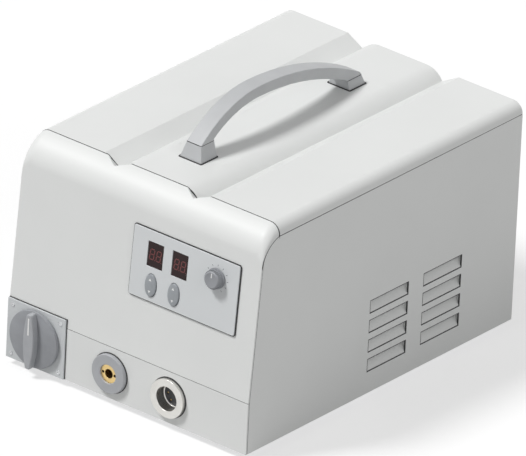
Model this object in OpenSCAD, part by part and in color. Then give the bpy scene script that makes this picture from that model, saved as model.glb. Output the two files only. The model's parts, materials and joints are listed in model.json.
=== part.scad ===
// Portable wire feeder for arc welding, as an assembly of separate pieces.
// Inside the modules x runs from the left side, y from the front's lower edge and z from the tray's
// underside.
// placed() moves that bench frame so that the origin is the bottom centre of the whole object.

/* [Casing] */
// Width of the casing
body_w = 310; // [300:1:360]
// Depth of the casing, front edge to rear edge
body_d = 418; // [405:1:480]
// Height of the casing without feet and handle
body_h = 242; // [236:1:280]
// Thickness of the sheet metal
sheet = 1.5; // [1:0.1:2]
// Thickness of the moulded front panel
front_t = 2; // [1.6:0.1:3]
// Radius of the top cover's side edges
edge_r = 12; // [8:1:18]
// How far the front leans back from the connector band to the top
lean_run = 14; // [8:1:20]
// How far the rear panel is set in
rear_inset = 2; // [1:0.5:4]
// How far the rear connectors stand out behind the casing
rear_out = 26.5; // [24:0.5:34]
// Radius of the front panel's rounded nose
nose_r = 34; // [30:1:56]
// Seam between two casing pieces
seam = 0.5; // [0.3:0.1:0.8]
// Height of the connector band along the bottom of the front
band_h = 56.5; // [54:0.5:66]

/* [Top] */
// Distance between the outer lips of the two grooves
groove_lips = 144; // [130:1:160]
// Width of a groove from its lip to its bottom
groove_w = 21; // [16:1:24]
// Depth of a groove
groove_depth = 11.5; // [8:0.5:13]
// Width of the spine's rounded shoulder
shoulder_w = 20; // [14:1:24]

/* [Handle] */
// Length of the handle over its feet
handle_len = 257; // [230:1:280]
// Width of the grip
handle_w = 19; // [18:1:26]
// Width of a handle foot at its base
handle_foot_w = 28; // [26:1:34]
// Height of the handle above the top cover
handle_rise = 53; // [46:1:60]
// Thickness of the grip
grip_t = 12; // [10:1:14]
// Distance of the highest point behind the handle's front
handle_peak = 94; // [80:1:110]
// Height of the front foot
front_foot_h = 17; // [14:1:20]
// Height of the rear foot
rear_foot_h = 12; // [10:1:16]

/* [Feet] */
// Height of a rubber foot
foot_h = 8; // [6:1:12]
// Radius of a rubber foot
foot_r = 13; // [10:1:16]
// Distance of a foot's centre from the casing's sides
foot_inset = 42; // [36:1:60]
// Distance between the trolley holes across the casing
trolley_x = 150; // [120:5:180]
// Distance between the trolley holes along the casing
trolley_y = 260; // [200:5:280]
// Radius of a trolley hole
trolley_r = 3.3; // [2.7:0.1:4.5]

/* [Front controls] */
// Width of the control panel
panel_w = 136; // [128:1:150]
// Height of the control panel
panel_h = 75; // [68:1:84]
// Thickness of the control panel plate
panel_t = 2; // [1.5:0.1:3]
// Distance of the control panel from the casing's right side
panel_side = 25; // [18:1:34]
// Distance of the control panel's middle below the top
panel_drop = 82.5; // [78:0.5:92]
// Width of a display window
display_w = 20; // [18:1:24]
// Height of a display window
display_h = 27; // [24:1:30]
// Distance between the two displays
display_pitch = 31.5; // [28:0.5:36]
// Width of an oval key
key_w = 14; // [11:1:16]
// Height of an oval key
key_h = 24; // [20:1:28]
// Distance between the two keys
key_pitch = 29.5; // [27:0.5:34]
// Diameter of the adjusting knob
knob_d = 22; // [18:1:26]
// Height of the adjusting knob
knob_h = 9; // [7:1:12]
// Width of the square plate under the rotary switch
plate_w = 75; // [70:1:80]
// Height of that plate
plate_h = 66; // [62:1:72]
// Thickness of that plate
plate_t = 2; // [1.5:0.1:3]
// Diameter of the rotary switch knob
switch_d = 62; // [54:1:64]
// Height of the rotary switch knob with its grip bar
switch_h = 12; // [10:1:20]
// Thickness of the knob's disc
disc_t = 4; // [3:0.5:7]
// Widest part of the grip bar
grip_w = 13; // [10:1:16]

/* [Connectors] */
// Height of both front sockets above the tray's underside
socket_z = 28.5; // [28:0.5:30]
// Distance of the torch socket from the left side, which is also the wire's path
wire_x = 134; // [128:1:138]
// Distance between the two front sockets
socket_pitch = 76; // [70:1:84]
// Diameter of the round flange of both front sockets
socket_d = 42; // [38:1:46]
// Radius of the torch socket's central bore
torch_bore_r = 5; // [4:0.5:6]
// Depth of the torch socket core behind the band
torch_depth = 44; // [42:1:45]
// Radius of the remote socket's recess
remote_r = 13; // [11:0.5:14]
// Depth of the remote socket's recess
remote_recess = 12; // [8:1:14]
// Radius of the gas inlet nipple
gas_r = 4; // [3:0.5:5]
// Radius of the current inlet pin
current_r = 6.5; // [5:0.5:8]

/* [Louvres] */
// Length of a louvre slot
louvre_w = 61; // [40:1:64]
// Height of a louvre slot
louvre_h = 15; // [8:0.5:16]
// Distance between rows
louvre_pitch = 21.8; // [18:0.2:26]
// Distance between columns
louvre_column = 84; // [76:1:92]
// Rows in each column
louvre_rows = 4; // [2:1:5]
// Height of the middle of the louvre field
louvre_z = 64; // [60:1:80]
// Distance of the middle of the louvre field from the front
louvre_y = 259.5; // [240:0.5:280]

/* [Wire drive] */
// Radius of the drive and pressure rolls
roll_r = 12.35; // [11:0.05:12.4]
// Width of a roll
roll_w = 7.5; // [6:0.5:9]
// Distance between the roll axles
roll_gap = 25; // [24:1:26]
// Teeth of each feed gear
gear_teeth = 25; // [20:1:26]
// Width of each feed gear
gear_w = 4; // [3:0.5:5]
// Distance of the roll axles behind the front
roll_y = 72; // [68:1:78]
// Radius of the welding wire
wire_r = 0.5; // [0.4:0.1:0.6]
// Radius of the output shaft
shaft_r = 5; // [4:0.5:5.5]
// Running clearance of a shaft in its bore
run = 0.05; // [0.02:0.01:0.09]
// Radius of the motor
motor_r = 31.5; // [26:0.5:33]
// Length of the motor
motor_len = 92; // [70:1:105]

/* [Spool] */
// Clearance between the spool and the cover's grooves above it
spool_over = 15; // [10:1:24]
// Clearance between the spool and the casing's rear edge
spool_behind = 33; // [28:1:40]
// How far the full winding stays inside the flanges' edge
winding_drop = 14.5; // [12:0.5:20]
// Width of the spool
spool_w = 55; // [50:1:56]
// Thickness of a spool flange
spool_flange_t = 4; // [3:0.5:6]
// Radius of the spool's core
core_r = 50; // [46:1:54]
// Radius of the spool's bore
spool_bore_r = 25.5; // [25:0.1:26]
// Radius of the spindle's fixed axle
axle_r = 9; // [7:0.5:10]

/* [Door] */
// Gap around the door
door_gap = 1; // [0.6:0.1:1.4]
// Distance of the door's front edge behind the front
door_front = 41; // [40:1:50]
// Height of the door's lower edge
door_low = 15; // [14:1:24]
// Distance of the door's upper edge below the top cover's side edge
door_top = 17; // [16:1:30]
// Radius of the hinge knuckles
knuckle_r = 4; // [3.5:0.1:4.2]
// Radius of the hinge pins
hinge_pin_r = 2; // [1.5:0.1:2.2]
// Radius of a door latch
latch_r = 11; // [9:1:13]
// Distance of a latch from the door's upper or lower edge
latch_in = 40; // [30:1:60]

/* [Hidden] */
$fn = 48;

// Front lean and the nose arc
lean = atan(lean_run / (body_h - band_h));
nose_end = 75;
nose_steps = 10;
edge_steps = 6;
function front_y(z) = (z - band_h) * tan(lean);
function nose_z(drop) = body_h - drop - nose_r * sin(nose_end);
function nose_y(drop) = front_y(nose_z(drop)) + nose_r / cos(lean);
seam_y = nose_y(0) - nose_r * cos(nose_end);

// Top outline
shoulder_r = (shoulder_w * shoulder_w + groove_depth * groove_depth) / (2 * groove_depth);
lip_x = groove_lips / 2;
bottom_x = lip_x - groove_w;
flat_x = bottom_x - shoulder_w;
lip_angle = atan(groove_depth / groove_w);
crease_z = body_h - edge_r;
lap = 14;

// Handle, nearly centred on the casing's depth
handle_y = (body_d - handle_len) / 2 + 3.5;
handle_foot_len = 25;
foot_rake = 4.5;
rear_rake = 3;

// Clearances
bolt_clear = 0.3;
ring_gap = 0.05;
hub_gap = 0.3;
winding_gap = 0.3;
tray_top = sheet;
side_in = sheet + bolt_clear;

// Front controls
panel_x = body_w - panel_side - panel_w;
panel_z = body_h - panel_drop;
panel_mid_x = panel_x + panel_w / 2;
display_mid_x = panel_x + 45;
display_rise = 12.5;
key_mid_x = panel_x + 42.25;
key_drop = 20;
key_gap = 0.5;
key_out = 2.5;
key_pivot = -3;
key_pin_r = 1.2;
knob_x = panel_x + 108.5;
knob_rise = 16;
knob_gap = 0.7;
stem_r = 3;
board_depth = -10;
switch_neck_r = 11;
switch_stem_r = 4;

// Front connectors
torch_body_r = 16;
torch_core_r = 10;
remote_body_r = 17;
insert_r = remote_r - 1;
flange_out = 5;
remote_x = wire_x + socket_pitch;

// Wire line
drive_axis_z = socket_z - roll_gap / 2;
press_axis_z = socket_z + roll_gap / 2;
wall_x = wire_x + 18;
plate_in = 7.5;
gear_x = wire_x + 5;
axle_pin_r = 4;
guide_r = 3.4;
guide_bore = 1.2;
tip_r = 1.8;
tip_gap = 7.5;
arm_y = roll_y - 22;
arm_z = press_axis_z + 9;
arm_x = wire_x - 13;
lever_y = roll_y + 26;
lever_z = press_axis_z - 2.5;
lever_tilt = 40;
pin_r = 3;
seat_z = arm_z + 8.4 - lever_z;
spring_len = 22;
bolt_r = 2.5;

// Gearbox and motor
motor_y = roll_y + 16;
motor_z = drive_axis_z + 31;
gearbox_len = 27;
gearbox_x = wall_x + sheet;

// Spool, as large as the casing takes, with the wire leaving the bottom of its winding on the wire line
spool_r = (body_h - groove_depth - sheet - spool_over - socket_z + winding_drop) / 2;
wire_reach = spool_r - winding_drop;
winding_r = wire_reach - wire_r - winding_gap;
spool_y = body_d - spool_behind - spool_r;
spool_z = socket_z + wire_reach;
hub_len = spool_w + 3;
spool_x = wall_x - 5 - spool_w;

// Distances of the wall's rear edge and of the gas valve's front from the casing's rear edge
wall_behind = 24;
valve_behind = 76;

// Door and hinge
door_high = crease_z - door_top;
latch_heights = [door_low + latch_in, door_high - latch_in];
latch_y = door_front + 14;
hinge_x = knuckle_r;
hinge_y = body_d - 16;
opening_rear = body_d - 10;
door_flange = 6;
tongue_x = sheet / 2 + door_flange + 0.4;
tongue_t = 2.5;
fixed_len = 10;
hinge_pin_len = 40;

// Service buttons
button_y = 138;
button_heights = [150, 178];
button_r = 7;

// Rear connectors
rim_clear = 13;
rear_z = 42;
current_x = 205;
gas_x = 262;
control_x = 232;
control_z = 110;
control_r = 11;
current_body_r = 15;
cable_r = 5.5;

// Points of the inner hose and cable, chosen by hand along their route
// A negative y counts from the casing's rear edge
hose_points = [
    [262, -88, 42], [262, -100, 42], [260, -114, 52], [250, -132, 82], [224, -164, 98], [194, 204, 100],
    [184, 150, 100], [183, 90, 106], [172, 60, 112], [152, 39, 104], [139, 37, 84], [134, 37, 64], [134, 37, 50]
];
cable_points = [
    [205, -30, 42], [205, -50, 42], [203, -68, 50], [192, -92, 74], [176, -122, 92], [168, 240, 96],
    [168, 66, 96], [167, 48, 88], [167, 36, 70], [167, 34, 48], [166, 34, 36], [162, 34, 30], [154, 34, 28.5]
];
function from_rear(points) = [for (p = points) [p[0], p[1] < 0 ? body_d + p[1] : p[1], p[2]]];
hose_route = from_rear(hose_points);
cable_route = from_rear(cable_points);
hose_end = hose_route[len(hose_route) - 1];
cable_end = cable_route[len(cable_route) - 1];

// How far the rotary switch stands out in front, and the middle of the whole length
front_out = plate_t + 0.5 + switch_h;
middle_y = (body_d + rear_out - front_out) / 2;

module placed() {
    translate([-body_w / 2, -middle_y, foot_h])
        children();
}

// Local x along the front, y up its leaning face and z out of it
module on_lean(x, z) {
    translate([x, front_y(z), z])
        rotate([90 - lean, 0, 0])
            children();
}

// Local x along the casing, y up and z out of the upright band
module on_band(x, z, y = 0) {
    translate([x, y, z])
        rotate([90, 0, 0])
            children();
}

// Cylinder along +X
module rod_x(x, y, z, r, len) {
    translate([x, y, z])
        rotate([0, 90, 0])
            cylinder(r = r, h = len);
}

// Cylinder along +Y
module rod_y(x, y, z, r, len) {
    translate([x, y, z])
        rotate([-90, 0, 0])
            cylinder(r = r, h = len);
}

module rounded_plate(w, h, r, t) {
    linear_extrude(t)
        polygon(rounded_points(w, h, r));
}

function rounded_points(w, h, r) = [
    for (corner = [0 : 3], step = [0 : 5])
        let (a = corner * 90 + step * 18)
        let (sx = (corner == 0 || corner == 3) ? 1 : -1)
        let (sy = corner < 2 ? 1 : -1)
        [sx * (w / 2 - r) + r * cos(a), sy * (h / 2 - r) + r * sin(a)]
];

function oval_points(w, h) = [for (a = [0 : 10 : 350]) [w / 2 * cos(a), h / 2 * sin(a)]];

// ---- Casing ----

// Right half of the top cover's section, from its middle outwards, moved in by t
function half_top(t) = concat(
    [[0, body_h - t]],
    [
        for (step = [0 : 5])
            let (end = asin((shoulder_w - 0.38 * t) / (shoulder_r - t)))
            let (a = end * step / 5)
            [flat_x + (shoulder_r - t) * sin(a), body_h - shoulder_r + (shoulder_r - t) * cos(a)]
    ],
    [[lip_x + t * tan(lip_angle / 2), body_h - t]],
    [
        for (step = [0 : edge_steps])
            let (a = 90 - 90 * step / edge_steps)
            [body_w / 2 - edge_r + (edge_r - t) * cos(a), crease_z + (edge_r - t) * sin(a)]
    ]
);

// Half of the cover's sheet, with the flange that laps behind a side sheet
function half_cover() =
    let (flange_x = body_w / 2 - sheet - bolt_clear)
    let (inner = half_top(sheet))
    concat(
        half_top(0),
        [
            [flange_x, crease_z], [flange_x, crease_z - lap], [flange_x - sheet, crease_z - lap],
            [flange_x - sheet, crease_z + sheet], [body_w / 2 - sheet, crease_z + sheet]
        ],
        [for (i = [len(inner) - 2 : -1 : 0]) inner[i]]
    );

module top_cover() {
    color("gainsboro")
        translate([body_w / 2, body_d, 0])
            rotate([90, 0, 0])
                linear_extrude(body_d - seam_y - seam)
                    polygon(concat(cover_side(1), cover_side(-1)));
}

function cover_side(side) =
    let (half = half_cover())
    side > 0 ? half : [for (i = [len(half) - 1 : -1 : 0]) [-half[i][0], half[i][1]]];

// Outer point of the nose at the edge angle e (0 at the side) and the nose angle a
function nose_point(e, a) =
    let (drop = edge_r * (1 - sin(e)))
    [edge_r * (1 - cos(e)), nose_y(drop) - nose_r * cos(a), nose_z(drop) + nose_r * sin(a)];

function nose_normal(e, a) =
    let (out = sin(e) + 0.15)
    let (side = cos(e) * sin(a - lean))
    let (size = norm([side, out]))
    [-side / size, -out / size * cos(a), out / size * sin(a)];

function nose_row(row, inner) =
    let (a = row == 0 ? lean : lean + (nose_end - lean) * (row - 1) / nose_steps)
    let (left = [
        for (step = [0 : edge_steps])
            let (e = 90 * step / edge_steps)
            let (p = nose_point(e, a) - (inner ? front_t : 0) * nose_normal(e, a))
            row == 0 ? [p[0], front_y(band_h + seam) + (inner ? front_t : 0), band_h + seam] : p
    ])
    concat(left, [for (i = [edge_steps : -1 : 0]) [body_w - left[i][0], left[i][1], left[i][2]]]);

module nose_shell() {
    cols = 2 * edge_steps + 2;
    rows = nose_steps + 2;
    outer = [for (row = [0 : rows - 1]) each nose_row(row, false)];
    inner = [for (row = [0 : rows - 1]) each nose_row(row, true)];
    base = cols * rows;
    faces = concat(
        [
            for (row = [0 : rows - 2], col = [0 : cols - 2], half = [0, 1])
                let (i = row * cols + col)
                half == 0 ? [i, i + cols, i + 1] : [i + 1, i + cols, i + cols + 1]
        ],
        [
            for (row = [0 : rows - 2], col = [0 : cols - 2], half = [0, 1])
                let (i = base + row * cols + col)
                half == 0 ? [i, i + 1, i + cols] : [i + 1, i + cols + 1, i + cols]
        ],
        [
            for (col = [0 : cols - 2], half = [0, 1])
                half == 0 ? [col, col + 1, base + col] : [col + 1, base + col + 1, base + col]
        ],
        [
            for (col = [0 : cols - 2], half = [0, 1])
                let (i = base - cols + col)
                half == 0 ? [i, base + i, i + 1] : [i + 1, base + i, base + i + 1]
        ],
        [
            for (row = [0 : rows - 2], half = [0, 1])
                let (i = row * cols)
                half == 0 ? [i, base + i, i + cols] : [i + cols, base + i, base + i + cols]
        ],
        [
            for (row = [0 : rows - 2], half = [0, 1])
                let (i = row * cols + cols - 1)
                half == 0 ? [i, i + cols, base + i] : [i + cols, base + i + cols, base + i]
        ]
    );
    polyhedron(concat(outer, inner), faces);
}

// The grooves run out in the nose as short notches, each along a line that rises towards the front
module along_notch(side) {
    run_out = 34;
    translate([body_w / 2, seam_y + 2, body_h - groove_depth])
        scale([side, 1, 1])
            rotate([-run_out, 0, 0])
                rotate([90, 0, 0])
                    children();
}

module groove_notch(side) {
    notch_len = 30;
    along_notch(side)
        translate([0, 0, -4])
            linear_extrude(notch_len)
                polygon([
                    [bottom_x, 0], [lip_x, groove_depth], [lip_x + 20, groove_depth + 20],
                    [flat_x, groove_depth + 20], [flat_x, groove_depth]
                ]);
}

// Sheet under a notch, cut off above the nose's own surface
module notch_gutter(side) {
    gutter_len = 20;
    intersection() {
        along_notch(side)
            translate([0, 0, -2])
                linear_extrude(gutter_len)
                    polygon([
                        [bottom_x, -front_t * 1.3], [lip_x + 1, groove_depth - front_t * 1.1],
                        [lip_x + 4, groove_depth],
                        [bottom_x, 1], [flat_x - 4, groove_depth], [flat_x - 1, groove_depth - front_t * 1.1]
                    ]);
        translate([edge_r, 0, 0])
            rotate([90, 0, 90])
                linear_extrude(body_w - 2 * edge_r)
                    polygon(concat(
                        [[seam_y, 0]],
                        [
                            for (step = [0 : nose_steps - 1])
                                let (a = lean + (nose_end - lean) * step / nose_steps)
                                [nose_y(0) - (nose_r - 0.3) * cos(a), nose_z(0) + (nose_r - 0.3) * sin(a)]
                        ],
                        [[seam_y, body_h - 0.36]]
                    ));
    }
}

module front_panel() {
    window_w = panel_w - 10;
    window_h = panel_h - 10;
    color("gainsboro")
        difference() {
            union() {
                nose_shell();
                notch_gutter(1);
                notch_gutter(-1);
            }
            groove_notch(1);
            groove_notch(-1);
            on_lean(panel_x + panel_w / 2, panel_z)
                translate([-window_w / 2, -window_h / 2, -20])
                    cube([window_w, window_h, 40]);
            translate([-1, -5, 0])
                cube([plate_w + 1 + seam, 30, plate_h + seam]);
        }
}

module connector_band() {
    color("gainsboro")
        difference() {
            translate([plate_w + seam, 0, 0])
                cube([body_w - plate_w - seam, front_t, band_h]);
            on_band(wire_x, socket_z, front_t + 1)
                cylinder(r = torch_body_r + bolt_clear, h = front_t + 2);
            on_band(remote_x, socket_z, front_t + 1)
                cylinder(r = remote_body_r + bolt_clear, h = front_t + 2);
        }
}

module switch_plate() {
    color("lightgrey")
        difference() {
            translate([0, -plate_t, 0])
                cube([plate_w, plate_t + front_t, plate_h]);
            on_band(plate_w / 2, plate_h / 2, front_t + 1)
                cylinder(r = switch_neck_r + bolt_clear, h = plate_t + front_t + 2);
        }
}

// Outline of a side sheet, behind the front panel's edge
function side_points(low, high) = concat(
    [[front_t + seam, low], [front_t + seam, band_h]],
    [
        for (step = [0 : nose_steps])
            let (a = lean + (nose_end - lean) * step / nose_steps)
            let (r = nose_r - seam - front_t * 0.15 / norm([0.15, sin(a - lean)]))
            let (z = nose_z(edge_r) + r * sin(a))
            [nose_y(edge_r) - r * cos(a), min(z, high)]
    ],
    [[body_d, high], [body_d, low]]
);

module side_sheet(x) {
    translate([x, 0, 0])
        rotate([90, 0, 90])
            linear_extrude(sheet)
                polygon(side_points(0, crease_z - seam));
}

module louvre(y, z) {
    translate([body_w - sheet - 1, y - louvre_w / 2, z - louvre_h / 2])
        cube([sheet + 2, louvre_w, louvre_h]);
}

// Blade bent in from the lower edge of a slot, rising inwards to just below its upper edge
module louvre_blade(y, z) {
    blade_tilt = 30;
    blade_t = 1.2;
    blade_len = (louvre_h - 1.5) / cos(blade_tilt);
    translate([body_w - sheet / 2, y - louvre_w / 2 - 1, z - louvre_h / 2 - 0.6])
        rotate([0, -90 - blade_tilt, 0])
            mirror([0, 0, 1])
                cube([blade_len, louvre_w + 2, blade_t]);
}

module louvre_places() {
    for (row = [0 : louvre_rows - 1], col = [-0.5, 0.5])
        let ($y = louvre_y + col * louvre_column)
        let ($z = louvre_z + (row - (louvre_rows - 1) / 2) * louvre_pitch)
        children();
}

module side_cover() {
    color("gainsboro") {
        difference() {
            side_sheet(body_w - sheet);
            louvre_places()
                louvre($y, $z);
        }
        intersection() {
            louvre_places()
                louvre_blade($y, $z);
            cube([body_w - sheet / 2, body_d, body_h]);
        }
    }
}

module base_tray() {
    rim = rim_clear - 1;
    color("silver")
        difference() {
            union() {
                translate([side_in, front_t + seam, 0])
                    cube([body_w - 2 * side_in, body_d - front_t - seam - rear_inset - sheet - seam, sheet]);
                for (x = [side_in, body_w - side_in - sheet])
                    translate([x, front_t + seam, 0])
                        cube([sheet, body_d - front_t - seam - rear_inset - sheet - seam, rim]);
                translate([side_in, front_t + seam, 0])
                    cube([plate_w - side_in, sheet, plate_h - 8]);
                translate([side_in, body_d - rear_inset - 2 * sheet - seam, 0])
                    cube([body_w - 2 * side_in, sheet, rim]);
            }
            on_band(plate_w / 2, plate_h / 2, 10)
                cylinder(r = switch_neck_r + bolt_clear, h = 20);
            for (x = [-1, 1], y = [-1, 1])
                translate([body_w / 2 + x * trolley_x / 2, body_d / 2 + y * trolley_y / 2, -1])
                    cylinder(r = trolley_r, h = sheet + 2);
        }
}

module left_frame() {
    open_low = door_low - door_gap;
    open_high = door_high + door_gap;
    open_front = door_front - door_gap;
    ring_len = opening_rear - open_front + 2 * sheet;
    ring_h = open_high - open_low + 2 * sheet;
    color("gainsboro")
        difference() {
            union() {
                side_sheet(0);
                translate([sheet / 2, open_front - sheet, open_low - sheet])
                    cube([door_flange, ring_len, ring_h]);
                fixed_knuckles();
            }
            difference() {
                translate([-1, open_front, open_low])
                    cube([30, opening_rear - open_front, open_high - open_low]);
                fixed_knuckles();
            }
            translate([hinge_x, hinge_y, door_low])
                cylinder(r = hinge_pin_r, h = door_high - door_low);
        }
}

// Two short fixed knuckles at the ends of the door's own, with webs to the frame
module fixed_knuckles() {
    for (z = [door_low + 1, door_high - 1 - fixed_len])
        translate([hinge_x, hinge_y, z]) {
            cylinder(r = knuckle_r, h = fixed_len);
            translate([-1, 0, 0])
                cube([3, opening_rear - hinge_y + sheet, fixed_len]);
        }
}

module door() {
    barrel_low = door_low + 1.5 + fixed_len;
    barrel_len = door_high - door_low - 3 - 2 * fixed_len;
    flange_len = hinge_y - 8 - door_front;
    color("gainsboro")
        difference() {
            union() {
                translate([0, door_front, door_low])
                    cube([sheet, hinge_y - door_front - knuckle_r - 0.5, door_high - door_low]);
                translate([0, door_front, door_low])
                    cube([door_flange, sheet, door_high - door_low]);
                for (z = [door_low, door_high - sheet])
                    translate([0, door_front, z])
                        cube([door_flange, flange_len, sheet]);
                translate([hinge_x, hinge_y, barrel_low])
                    cylinder(r = knuckle_r, h = barrel_len);
                translate([0, hinge_y - knuckle_r - 2, barrel_low])
                    cube([sheet, knuckle_r + 2, barrel_len]);
            }
            translate([hinge_x, hinge_y, door_low])
                cylinder(r = hinge_pin_r + run, h = door_high - door_low);
            for (z = latch_heights)
                rod_x(-1, latch_y, z, latch_r - 2 + run, 10);
        }
}

module door_liner() {
    liner_t = 2.5;
    liner_in = 6;
    liner_front = latch_y + latch_r + liner_in;
    color("dimgrey")
        translate([side_in, liner_front, door_low + liner_in])
            cube([liner_t, hinge_y - 20 - liner_front, door_high - door_low - 2 * liner_in]);
}

module hinge_pins() {
    color("silver")
        for (z = [door_low + 1, door_high - 1 - hinge_pin_len])
            translate([hinge_x, hinge_y, z])
                cylinder(r = hinge_pin_r, h = hinge_pin_len);
}

// Quarter-turn latch, drawn released, with its tongue behind the door
module latch(z) {
    head_t = 2.2;
    barrel_r = latch_r - 2;
    color("darkslategrey")
        translate([0, latch_y, z])
            difference() {
                union() {
                    rod_x(0, 0, 0, barrel_r, tongue_x + tongue_t);
                    rod_x(side_in, 0, 0, latch_r, head_t);
                    translate([tongue_x, -5, -8])
                        cube([tongue_t, 10, 29]);
                }
                translate([-1, -1.2, -barrel_r + 3])
                    cube([2.2, 2.4, 2 * barrel_r - 6]);
            }
}

module latch_upper() {
    latch(latch_heights[1]);
}

module latch_lower() {
    latch(latch_heights[0]);
}

// Right half of the rear panel, inside the top cover and its lap
function half_rear() =
    let (gap = side_in)
    let (lap_in = body_w / 2 - 2 * gap)
    concat(
        [
            for (p = half_top(gap))
                if (p[0] < body_w / 2 - edge_r || p[1] > crease_z + gap + seam)
                    [min(p[0], lap_in), p[1]]
        ],
        [
            [lap_in, crease_z + gap + seam], [lap_in, crease_z - lap - seam],
            [body_w / 2 - gap, crease_z - lap - seam], [body_w / 2 - gap, 0]
        ]
    );

module rear_panel() {
    half = half_rear();
    other_half = [for (i = [len(half) - 1 : -1 : 1]) [-half[i][0], half[i][1]]];
    flange_top = crease_z - lap - seam;
    color("gainsboro")
        difference() {
            union() {
                translate([body_w / 2, body_d - rear_inset, 0])
                    rotate([90, 0, 0])
                        linear_extrude(sheet)
                            polygon(concat(half, other_half));
                for (x = [side_in, body_w - side_in - sheet])
                    translate([x, body_d - rear_inset - 5, rim_clear])
                        cube([sheet, 5, flange_top - rim_clear]);
            }
            rod_y(current_x, body_d - 10, rear_z, current_body_r, 20);
            rod_y(gas_x, body_d - 10, rear_z, gas_r + 2, 20);
            rod_y(control_x, body_d - 10, control_z, control_r, 20);
        }
}

module centre_wall() {
    wall_front = 47;
    wall_rear = body_d - wall_behind;
    wall_top = body_h - groove_depth - 6;
    color("silver")
        difference() {
            union() {
                translate([wall_x, wall_front, tray_top])
                    cube([sheet, wall_rear - wall_front, wall_top - tray_top]);
                translate([wall_x, wall_front, tray_top])
                    cube([14, wall_rear - wall_front, sheet]);
            }
            rod_x(wall_x - 5, roll_y, drive_axis_z, 9, 20);
            rod_x(wall_x - 5, spool_y, spool_z, 6, 20);
            for (z = button_heights)
                rod_x(wall_x - 5, button_y, z, button_r + 1.5, 20);
            translate([wall_x - 1, wall_front, tray_top + sheet])
                cube([sheet + 2, 8, 2]);
            translate([wall_x + 3, 60, 0])
                cube([20, 70, 8]);
        }
}

// Points of radius r at the given angles about the centre of an arc of radius peak_r under the handle's peak
function arc_points(peak_r, r, angles) = [
    for (a = angles)
        [handle_peak + r * sin(a), handle_rise - peak_r + r * cos(a)]
];

// The handle's side outline has a steeper arc in front of its peak than behind it
module handle() {
    front_x = handle_peak - foot_rake;
    front_drop = handle_rise - front_foot_h;
    front_r = (front_x * front_x + front_drop * front_drop) / (2 * front_drop);
    rear_x = handle_len - handle_peak - rear_rake;
    rear_drop = handle_rise - rear_foot_h;
    rear_r = (rear_x * rear_x + rear_drop * rear_drop) / (2 * rear_drop);
    front_a = asin(front_x / front_r);
    rear_a = asin(rear_x / rear_r);
    inner_front_a = asin((handle_peak - handle_foot_len) / (front_r - grip_t));
    inner_rear_a = asin((handle_len - handle_peak - handle_foot_len) / (rear_r - grip_t));
    steps = 9;
    arch = concat(
        [[handle_foot_len, 0], [0, 0]],
        arc_points(front_r, front_r, [for (i = [0 : steps]) -front_a * (1 - i / steps)]),
        arc_points(rear_r, rear_r, [for (i = [1 : steps]) rear_a * i / steps]),
        [[handle_len, 0], [handle_len - handle_foot_len, 0]],
        arc_points(rear_r, rear_r - grip_t, [for (i = [0 : steps]) inner_rear_a * (1 - i / steps)]),
        arc_points(front_r, front_r - grip_t, [for (i = [1 : steps]) -inner_front_a * i / steps])
    );
    color("darkgrey")
        translate([body_w / 2, handle_y, body_h]) {
            translate([-handle_w / 2, 0, 0])
                rotate([90, 0, 90])
                    linear_extrude(handle_w)
                        polygon(arch);
            for (side = [-1, 1])
                foot_flare(side);
        }
}

// Wedge that widens both handle feet towards their base
module foot_flare(side) {
    flare = (handle_foot_w - handle_w) / 2;
    for (foot = [[0, front_foot_h, foot_rake], [1, rear_foot_h, rear_rake]])
        translate([0, foot[0] * handle_len, 0])
            mirror([0, foot[0], 0])
                intersection() {
                    mirror([side < 0 ? 1 : 0, 0, 0])
                        translate([handle_w / 2, 0, 0])
                            rotate([90, 0, 0])
                                translate([0, 0, -handle_foot_len])
                                    linear_extrude(handle_foot_len)
                                        polygon([[-1, 0], [flare, 0], [0, foot[1]], [-1, foot[1]]]);
                    translate([-handle_foot_w, 0, 0])
                        rotate([90, 0, 90])
                            linear_extrude(2 * handle_foot_w)
                                polygon([
                                    [0, 0], [handle_foot_len, 0], [handle_foot_len, foot[1]], [foot[2], foot[1]]
                                ]);
                }
}

module feet() {
    screw_r = 2.5;
    color("dimgrey")
        for (x = [foot_inset, body_w - foot_inset], y = [foot_inset, body_d - foot_inset])
            translate([x, y, -foot_h])
                difference() {
                    cylinder(r = foot_r, h = foot_h);
                    translate([0, 0, -1])
                        cylinder(r = screw_r + 2, h = 4);
                    cylinder(r = screw_r, h = foot_h + 1);
                }
}

module casing_screws() {
    head_r = 3.6;
    head_t = 1.6;
    color("silver")
        for (x = [20, body_w / 2, body_w - 20], z = [20, crease_z - 20])
            difference() {
                rod_y(x, body_d - rear_inset, z, head_r, head_t);
                rod_y(x, body_d - rear_inset + 0.6, z, 1.4, 3);
            }
}

// ---- Front controls ----

module control_panel() {
    color("lightgrey")
        on_lean(panel_mid_x, panel_z)
            difference() {
                translate([0, 0, 0.2])
                    rounded_plate(panel_w, panel_h, 2, panel_t);
                for (side = [-0.5, 0.5])
                    translate([display_mid_x - panel_mid_x + side * display_pitch, display_rise, 0])
                        cube([display_w, display_h, 9], center = true);
                for (side = [-0.5, 0.5])
                    translate([key_mid_x - panel_mid_x + side * key_pitch, -key_drop, -1])
                        linear_extrude(9)
                            polygon(oval_points(key_w + 2 * key_gap, key_h + 2 * key_gap));
                translate([knob_x - panel_mid_x, knob_rise, -1])
                    cylinder(r = 4.5, h = 9);
            }
}

module display(side) {
    board_gap = 0.25;
    color("darkred")
        on_lean(display_mid_x + side * display_pitch, panel_z)
            translate([0, display_rise, 0]) {
                translate([0, 0, -2.9])
                    cube([display_w - 2 * board_gap, display_h - 2 * board_gap, 9], center = true);
                translate([0, 0, -5.2])
                    cube([display_w + 4, display_h + 4, 6], center = true);
            }
}

module display_left() {
    display(-0.5);
}

module display_right() {
    display(0.5);
}

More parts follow.
